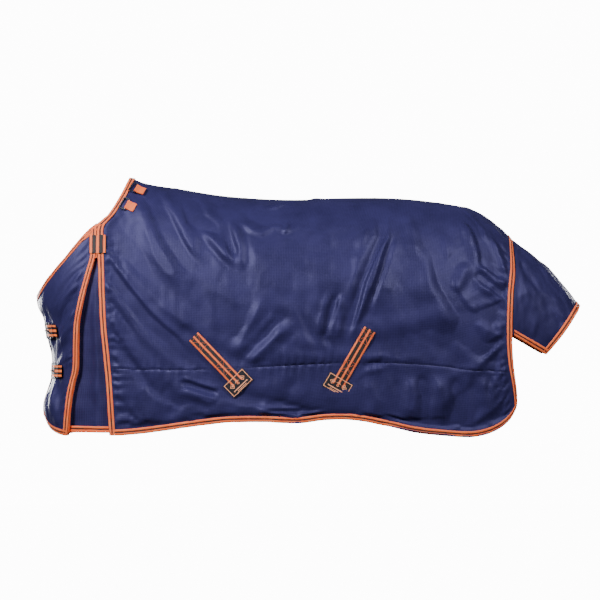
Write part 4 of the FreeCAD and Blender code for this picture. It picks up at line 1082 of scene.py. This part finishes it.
def sewn_patch(name, x, z, lean, sign):
    """The patch over a surcingle's end: a woven ground, a border, diamonds and a plain bar."""
    half_w, half_h = 50.5, 31.0
    verts, faces, kinds = [], [], []
    columns, rows = 21, 13
    for i in range(columns):
        for j in range(rows):
            a = -half_w + 2 * half_w * i / (columns - 1)
            b = -half_h + 2 * half_h * j / (rows - 1)
            edge = min(half_w - abs(a), half_h - abs(b))
            verts.append((a, b, 1.3 * min(1.0, 0.25 + edge / 3.0)))
    for i in range(columns - 1):
        for j in range(rows - 1):
            a = i * rows + j
            faces.append((a, a + rows, a + rows + 1, a + 1))
            kinds.append(0)
    shapes = []
    border = 2.6
    w, h = half_w - 3.2, half_h - 3.2
    for a0, b0, a1, b1 in ((-w, h - border, w, h), (-w, -h, w, border - h),
                           (-w, border - h, border - w, h - border),
                           (w - border, border - h, w, h - border)):
        shapes.append([(a0, b0), (a1, b0), (a1, b1), (a0, b1)])
    for centre in (-24.0, 0.0, 24.0):
        for r0, r1 in ((10.5, 7.5), (4.5, 0.0)):
            outer = [(centre + r0 * 1.1, 4.0), (centre, 4.0 + r0),
                     (centre - r0 * 1.1, 4.0), (centre, 4.0 - r0)]
            if r1:
                inner = [(centre + r1 * 1.1, 4.0), (centre, 4.0 + r1),
                         (centre - r1 * 1.1, 4.0), (centre, 4.0 - r1)]
                for i in range(4):
                    k = (i + 1) % 4
                    shapes.append([outer[i], outer[k], inner[k], inner[i]])
            else:
                shapes.append(outer)
    shapes.append([(-34, -16.5), (34, -16.5), (34, -12.5), (-34, -12.5)])
    shapes.append([(-22, -23.0), (22, -23.0), (22, -20.6), (-22, -20.6)])
    for shape in shapes:
        more, sides = raised_shape(shape, 1.0, 1.9)
        first = len(verts)
        verts += more
        faces += [tuple(first + i for i in side) for side in sides]
        kinds += [1] * len(sides)
    local = np.array(verts)
    angle = math.radians(lean)
    px = x + local[:, 0] * math.cos(angle) - local[:, 1] * math.sin(angle)
    pz = z + local[:, 0] * math.sin(angle) + local[:, 1] * math.cos(angle)
    at, out = on_flank(px, pz, sign)
    world = (at + out * (PATCH_RISE + local[:, 2:3])) / 1000
    if sign > 0:
        faces = [tuple(reversed(f)) for f in faces]
    mesh = bpy.data.meshes.new(name)
    mesh.from_pydata(world.tolist(), [], faces)
    mesh.materials.append(patch_black)
    mesh.materials.append(patch_thread)
    mesh.polygons.foreach_set("material_index", np.array(kinds, np.int32))
    mesh.update()
    made = bpy.data.objects.new(name, mesh)
    bpy.context.scene.collection.objects.link(made)
    return made


thread_orange = striped_tape(
    "orange_sewing_thread", "#e8552e", "#ff9a70", "#e8552e", [(1.2, 1.3)], 0.05, 0.0012)
for side, sign in (("left", -1), ("right", 1)):
    for which, ((ax, az), (bx, bz)) in surcingle_lines.items():
        q = np.linspace(-0.01, 1.0, 60)
        x, z = ax + (bx - ax) * q, az + (bz - az) * q
        at, out = on_flank(x, z, sign)
        loose = 1.2 + 2.2 * smooth((q - 0.62) / 0.2) * (1 + 0.3 * np.sin(q * 19))
        centre = at + out * (1.6 + loose)[:, None]
        way = np.gradient(centre, axis=0)
        way = way / np.linalg.norm(way, axis=1, keepdims=True)
        wide = np.cross(way, out)
        web = flat_strap(
            "surcingle_web_" + which + "_" + side, centre, wide, out, WEBBING_WIDTH, 2.2, webbing)
        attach(web, "rug_body")
        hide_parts("surcingle_webs_" + side)
        verts, quads = [], []
        for start, end in ((2, 14), (34, 46)):
            spots = [(start, -0.42), (end, -0.42), (end, 0.42), (start, 0.42), (start, -0.42),
                     (end, 0.42), (start, 0.42), (end, -0.42)]
            for (i, a), (j, b) in zip(spots, spots[1:]):
                t = np.linspace(0, 1, 12)[:, None]
                p = centre[i] + wide[i] * a * WEBBING_WIDTH + out[i] * 1.4
                r = centre[j] + wide[j] * b * WEBBING_WIDTH + out[j] * 1.4
                line = p + (r - p) * t
                step = (r - p) / np.linalg.norm(r - p)
                more, sides = sewing(line, np.repeat(out[i:i + 1], 12, 0), np.repeat(step[None], 12, 0))
                first = len(verts)
                verts += more
                quads += [tuple(first + k for k in quad) for quad in sides]
        mesh = bpy.data.meshes.new("surcingle_stitches_" + which + "_" + side)
        mesh.from_pydata((np.array(verts) / 1000).tolist(), [], quads)
        mesh.uv_layers.new(name="cloth")
        stitches = bpy.data.objects.new(mesh.name, mesh)
        bpy.context.scene.collection.objects.link(stitches)
        mesh.materials.append(thread_orange)
        stitches.parent = web
        patch = sewn_patch("surcingle_patch_" + which + "_" + side, bx, bz,
                           {"front": 44, "rear": -30}[which], sign)
        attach(patch, "rug_body")
        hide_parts("surcingle_patches_" + side)


# ---------------------------------------------------------------- shoulder tabs
# Short lengths of the same striped webbing, one box-stitched over the top of each shoulder slit,
# where it takes the pull. The tabs round the rings are CAD parts given plain orange webbing below.
tab_webbing = striped_tape(
    "striped_tab_webbing", "#ff6222", "#ff9453", "#160d12",
    [(-0.1, 0.03), (0.17, 0.42), (0.58, 0.83), (0.97, 1.1)], 0.064, 0.0028)
for side, sign in (("left", -1), ("right", 1)):
    low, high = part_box("shoulder_tab_" + side)
    x = (low.x + high.x) * 500
    z = np.linspace(high.z * 1000, low.z * 1000, 24)
    at, out = on_flank(np.full(24, x + 4.0), z, sign)
    out = np.repeat(out[12:13], 24, 0)
    middle = at[12] + (z - z[12])[:, None] * np.cross(out[12], [1.0, 0, 0]) * np.sign(
        np.cross(out[12], [1.0, 0, 0])[2])
    middle = middle + out * 5.2
    way = np.gradient(middle, axis=0)
    way = way / np.linalg.norm(way, axis=1, keepdims=True)
    tab = flat_strap(
        "shoulder_tab_webbing_" + side, middle, np.cross(way, out), out, 64.0, 2.0, tab_webbing)
    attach(tab, "rug_body")
    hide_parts("shoulder_tab_" + side)


# ---------------------------------------------------------------- chest straps, belly straps
# The same webbing, threaded through steel buckles on the chest and crossed under the belly.
def level_webbing(name, base, pale, dark, levels, width):
    """Webbing that runs level round the chest: its stripes follow its height."""
    material, tree = new_material(name)
    place = add_node(tree, "ShaderNodeTexCoord")
    parts = add_node(tree, "ShaderNodeSeparateXYZ", {"Vector": (place, "Object")})
    nearest = None
    for level in levels:
        off = add_node(tree, "ShaderNodeMath", {0: (parts, "Z"), 1: level}, operation="SUBTRACT")
        off = add_node(tree, "ShaderNodeMath", {0: (off, 0)}, operation="ABSOLUTE")
        nearest = off if nearest is None else add_node(
            tree, "ShaderNodeMath", {0: (nearest, 0), 1: (off, 0)}, operation="MINIMUM")
    share = add_node(tree, "ShaderNodeMath", {0: (nearest, 0), 1: 2 / width}, operation="MULTIPLY")
    stripe = add_node(tree, "ShaderNodeValToRGB", {"Fac": (share, 0)})
    stripe.color_ramp.interpolation = "CONSTANT"
    stripe.color_ramp.elements[0].color = (0, 0, 0, 1)
    stripe.color_ramp.elements[1].position = 0.20
    for spot, value in ((0.60, 0.0), (0.93, 1.0)):
        mark = stripe.color_ramp.elements.new(spot)
        mark.color = (value, value, value, 1)
    weave = add_node(tree, "ShaderNodeTexNoise", {
        "Vector": (place, "Object"), "Scale": 420.0, "Detail": 2.0})
    warm = add_node(tree, "ShaderNodeMix", {
        "Factor": (weave, "Fac"), 6: linear(base), 7: linear(pale)}, data_type="RGBA")
    colour = add_node(tree, "ShaderNodeMix", {
        "Factor": (stripe, "Color"), 6: (warm, 2), 7: linear(dark)}, data_type="RGBA")
    relief = add_node(tree, "ShaderNodeBump", {
        "Height": (weave, "Fac"), "Strength": 0.6, "Distance": 0.0008})
    finish_surface(tree, Base_Color=(colour, 2), Roughness=0.62, Normal=(relief, "Normal"))
    return material


def plain_webbing(name, base, pale, spacing):
    """Narrow-woven polyester: plain yarn with a herringbone; the pale colour on its crests is a painted
    highlight, in small steps and random patches.
    """
    material, tree = new_material(name)
    place = add_node(tree, "ShaderNodeTexCoord")
    weave = add_node(tree, "ShaderNodeTexWave", {
        "Vector": (place, "Object"), "Scale": 0.314159 / spacing, "Distortion": 1.2, "Detail": 2.0},
        bands_direction="DIAGONAL")
    wear_and_highlight = add_node(tree, "ShaderNodeTexNoise", {"Vector": (place, "Object"), "Scale": 60.0})
    # Painted highlight: the pale colour follows the herringbone crests.
    painted_highlight = add_node(tree, "ShaderNodeMath", {0: (weave, "Fac"), 1: (wear_and_highlight, "Fac")}, operation="MULTIPLY")
    tone = add_node(tree, "ShaderNodeMix", {
        "Factor": (painted_highlight, 0), 6: linear(base), 7: linear(pale)}, data_type="RGBA")
    relief = add_node(tree, "ShaderNodeBump", {
        "Height": (weave, "Fac"), "Strength": 0.5, "Distance": 0.0005})
    finish_surface(tree, Base_Color=(tone, 2), Roughness=0.6, Normal=(relief, "Normal"))
    return material


chest_levels = [height(share) / 1000 for share in (0.594, 0.750)]
chest_webbing = level_webbing("chest_webbing", "#ff6222", "#ff9453", "#1a1116", chest_levels, 0.045)
ring_webbing = plain_webbing("orange_ring_webbing", "#f05a22", "#ff9453", 0.003)
belly_webbing = plain_webbing("navy_belly_webbing", "#1c2140", "#3a416d", 0.003)
for node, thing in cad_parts.items():
    if node in ("chest_straps", "chest_buckle_tabs", "chest_keepers"):
        wanted = chest_webbing
    elif "ring_tabs" in node:
        wanted = ring_webbing
    elif node.startswith("belly_strap") or node in ("surcingle_inner_tabs", "chest_strap_patches"):
        wanted = belly_webbing
    else:
        continue
    thing.data.materials.clear()
    thing.data.materials.append(wanted)
    for face in thing.data.polygons:
        face.material_index = 0


# ---------------------------------------------------------------- steel hardware
# Rings, buckles, tongues, slot plates, hooks and sliders: pressed or bent steel, nickel plated and
# tumbled, so the edges are soft and the shine has fine handling marks.
def nickel_steel(name, bright, dull):
    """Nickel-plated steel: bright warm-grey metal, slightly hazy from tumbling."""
    material, tree = new_material(name)
    place = add_node(tree, "ShaderNodeTexCoord")
    haze = add_node(tree, "ShaderNodeTexNoise", {
        "Vector": (place, "Object"), "Scale": 260.0, "Detail": 5.0, "Roughness": 0.7})
    tone = add_node(tree, "ShaderNodeMix", {
        "Factor": (haze, "Fac"), 6: linear(dull), 7: linear(bright)}, data_type="RGBA")
    rough = add_node(tree, "ShaderNodeMapRange", {
        "Value": (haze, "Fac"), "From Min": 0.3, "From Max": 0.7, "To Min": 0.16, "To Max": 0.34})
    relief = add_node(tree, "ShaderNodeBump", {
        "Height": (haze, "Fac"), "Strength": 0.15, "Distance": 0.0002})
    finish_surface(tree, Base_Color=(tone, 2), Metallic=1.0, Roughness=(rough, "Result"),
                   Normal=(relief, "Normal"))
    return material


steel = nickel_steel("nickel_plated_steel", "#dfe2ea", "#a9adb8")
for node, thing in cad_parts.items():
    is_ring = node.startswith(("neck_ring_left", "neck_ring_right", "leg_ring_left", "leg_ring_right"))
    if is_ring or node.startswith(("chest_tongue", "belly_slider")) or node in (
            "chest_buckle_frames", "surcingle_slot_plates", "surcingle_hooks"):
        thing.data.materials.clear()
        thing.data.materials.append(steel)
        for face in thing.data.polygons:
            face.material_index = 0


# ---------------------------------------------------------------- studio
# A round pale floor that curves up into a wall all round, with soft lamps, and a long lens level
# with the flank. The paper glows evenly and casts no light on the rug.
low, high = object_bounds()
TURNS = 96
sweep = []
for radius, rise in ((6.0, 0.0), (14.0, 0.0), (20.0, 0.3), (24.0, 2.0), (26.0, 6.0), (26.0, 18.0)):
    for turn in range(TURNS):
        angle = 2 * math.pi * turn / TURNS
        sweep.append((0.65 + radius * math.cos(angle), radius * math.sin(angle), low.z - 0.55 + rise))
walls = [(r * TURNS + t, r * TURNS + (t + 1) % TURNS,
          (r + 1) * TURNS + (t + 1) % TURNS, (r + 1) * TURNS + t)
         for r in range(5) for t in range(TURNS)]
mesh = bpy.data.meshes.new("studio_sweep")
mesh.from_pydata(sweep, [], [tuple(range(TURNS))] + walls)
mesh.polygons.foreach_set("use_smooth", np.ones(len(mesh.polygons), bool))
studio = bpy.data.objects.new("studio_sweep", mesh)
bpy.context.scene.collection.objects.link(studio)
paper, tree = new_material("white_backdrop_paper")
grain = add_node(tree, "ShaderNodeTexNoise", {"Scale": 12.0, "Detail": 3.0})
tone = add_node(tree, "ShaderNodeMix", {
    "Factor": (grain, "Fac"), 6: linear("#f6f6f6"), 7: linear("#ffffff")}, data_type="RGBA")
finish_surface(tree, Base_Color=(tone, 2), Roughness=0.9, Emission_Color=linear("#ffffff"),
               Emission_Strength=13.0)
mesh.materials.append(paper)
studio.visible_diffuse = False
studio.visible_glossy = False


def soft_lamp(name, place, aim, size, power):
    lamp = bpy.data.objects.new(name, bpy.data.lights.new(name, "AREA"))
    bpy.context.scene.collection.objects.link(lamp)
    lamp.location = place
    lamp.rotation_euler = (Vector(aim) - Vector(place)).to_track_quat("-Z", "Y").to_euler()
    lamp.data.size = size
    lamp.data.energy = power
    return lamp


soft_lamp("key_lamp", (-2.5, -3.2, 2.0), (0.3, 0, -0.40), 0.8, 330)
soft_lamp("fill_lamp", (3.5, -3.2, 2.3), (1.1, 0, -0.40), 1.0, 190)
soft_lamp("far_side_lamp", (-2.2, 3.6, -0.25), (0.3, 0, -0.45), 1.2, 210)
soft_lamp("far_side_fill", (3.4, 3.6, -0.25), (1.1, 0, -0.45), 1.2, 130)
world = bpy.data.worlds.new("studio_air")
world.use_nodes = True
world.node_tree.nodes["Background"].inputs["Color"].default_value = linear("#f4f6ff")
world.node_tree.nodes["Background"].inputs["Strength"].default_value = 0.07
bpy.context.scene.world = world

LENS = 250.0
VIEW_WIDTH = 2.262
FLANK_PLANE = -0.15
camera = bpy.data.objects.new("camera", bpy.data.cameras.new("camera"))
bpy.context.scene.collection.objects.link(camera)
camera.data.lens = LENS
camera.data.clip_end = 100
camera.location = (0.648, FLANK_PLANE - VIEW_WIDTH * LENS / 36, -0.453)
camera.rotation_euler = (math.pi / 2, 0, 0)
bpy.context.scene.camera = camera
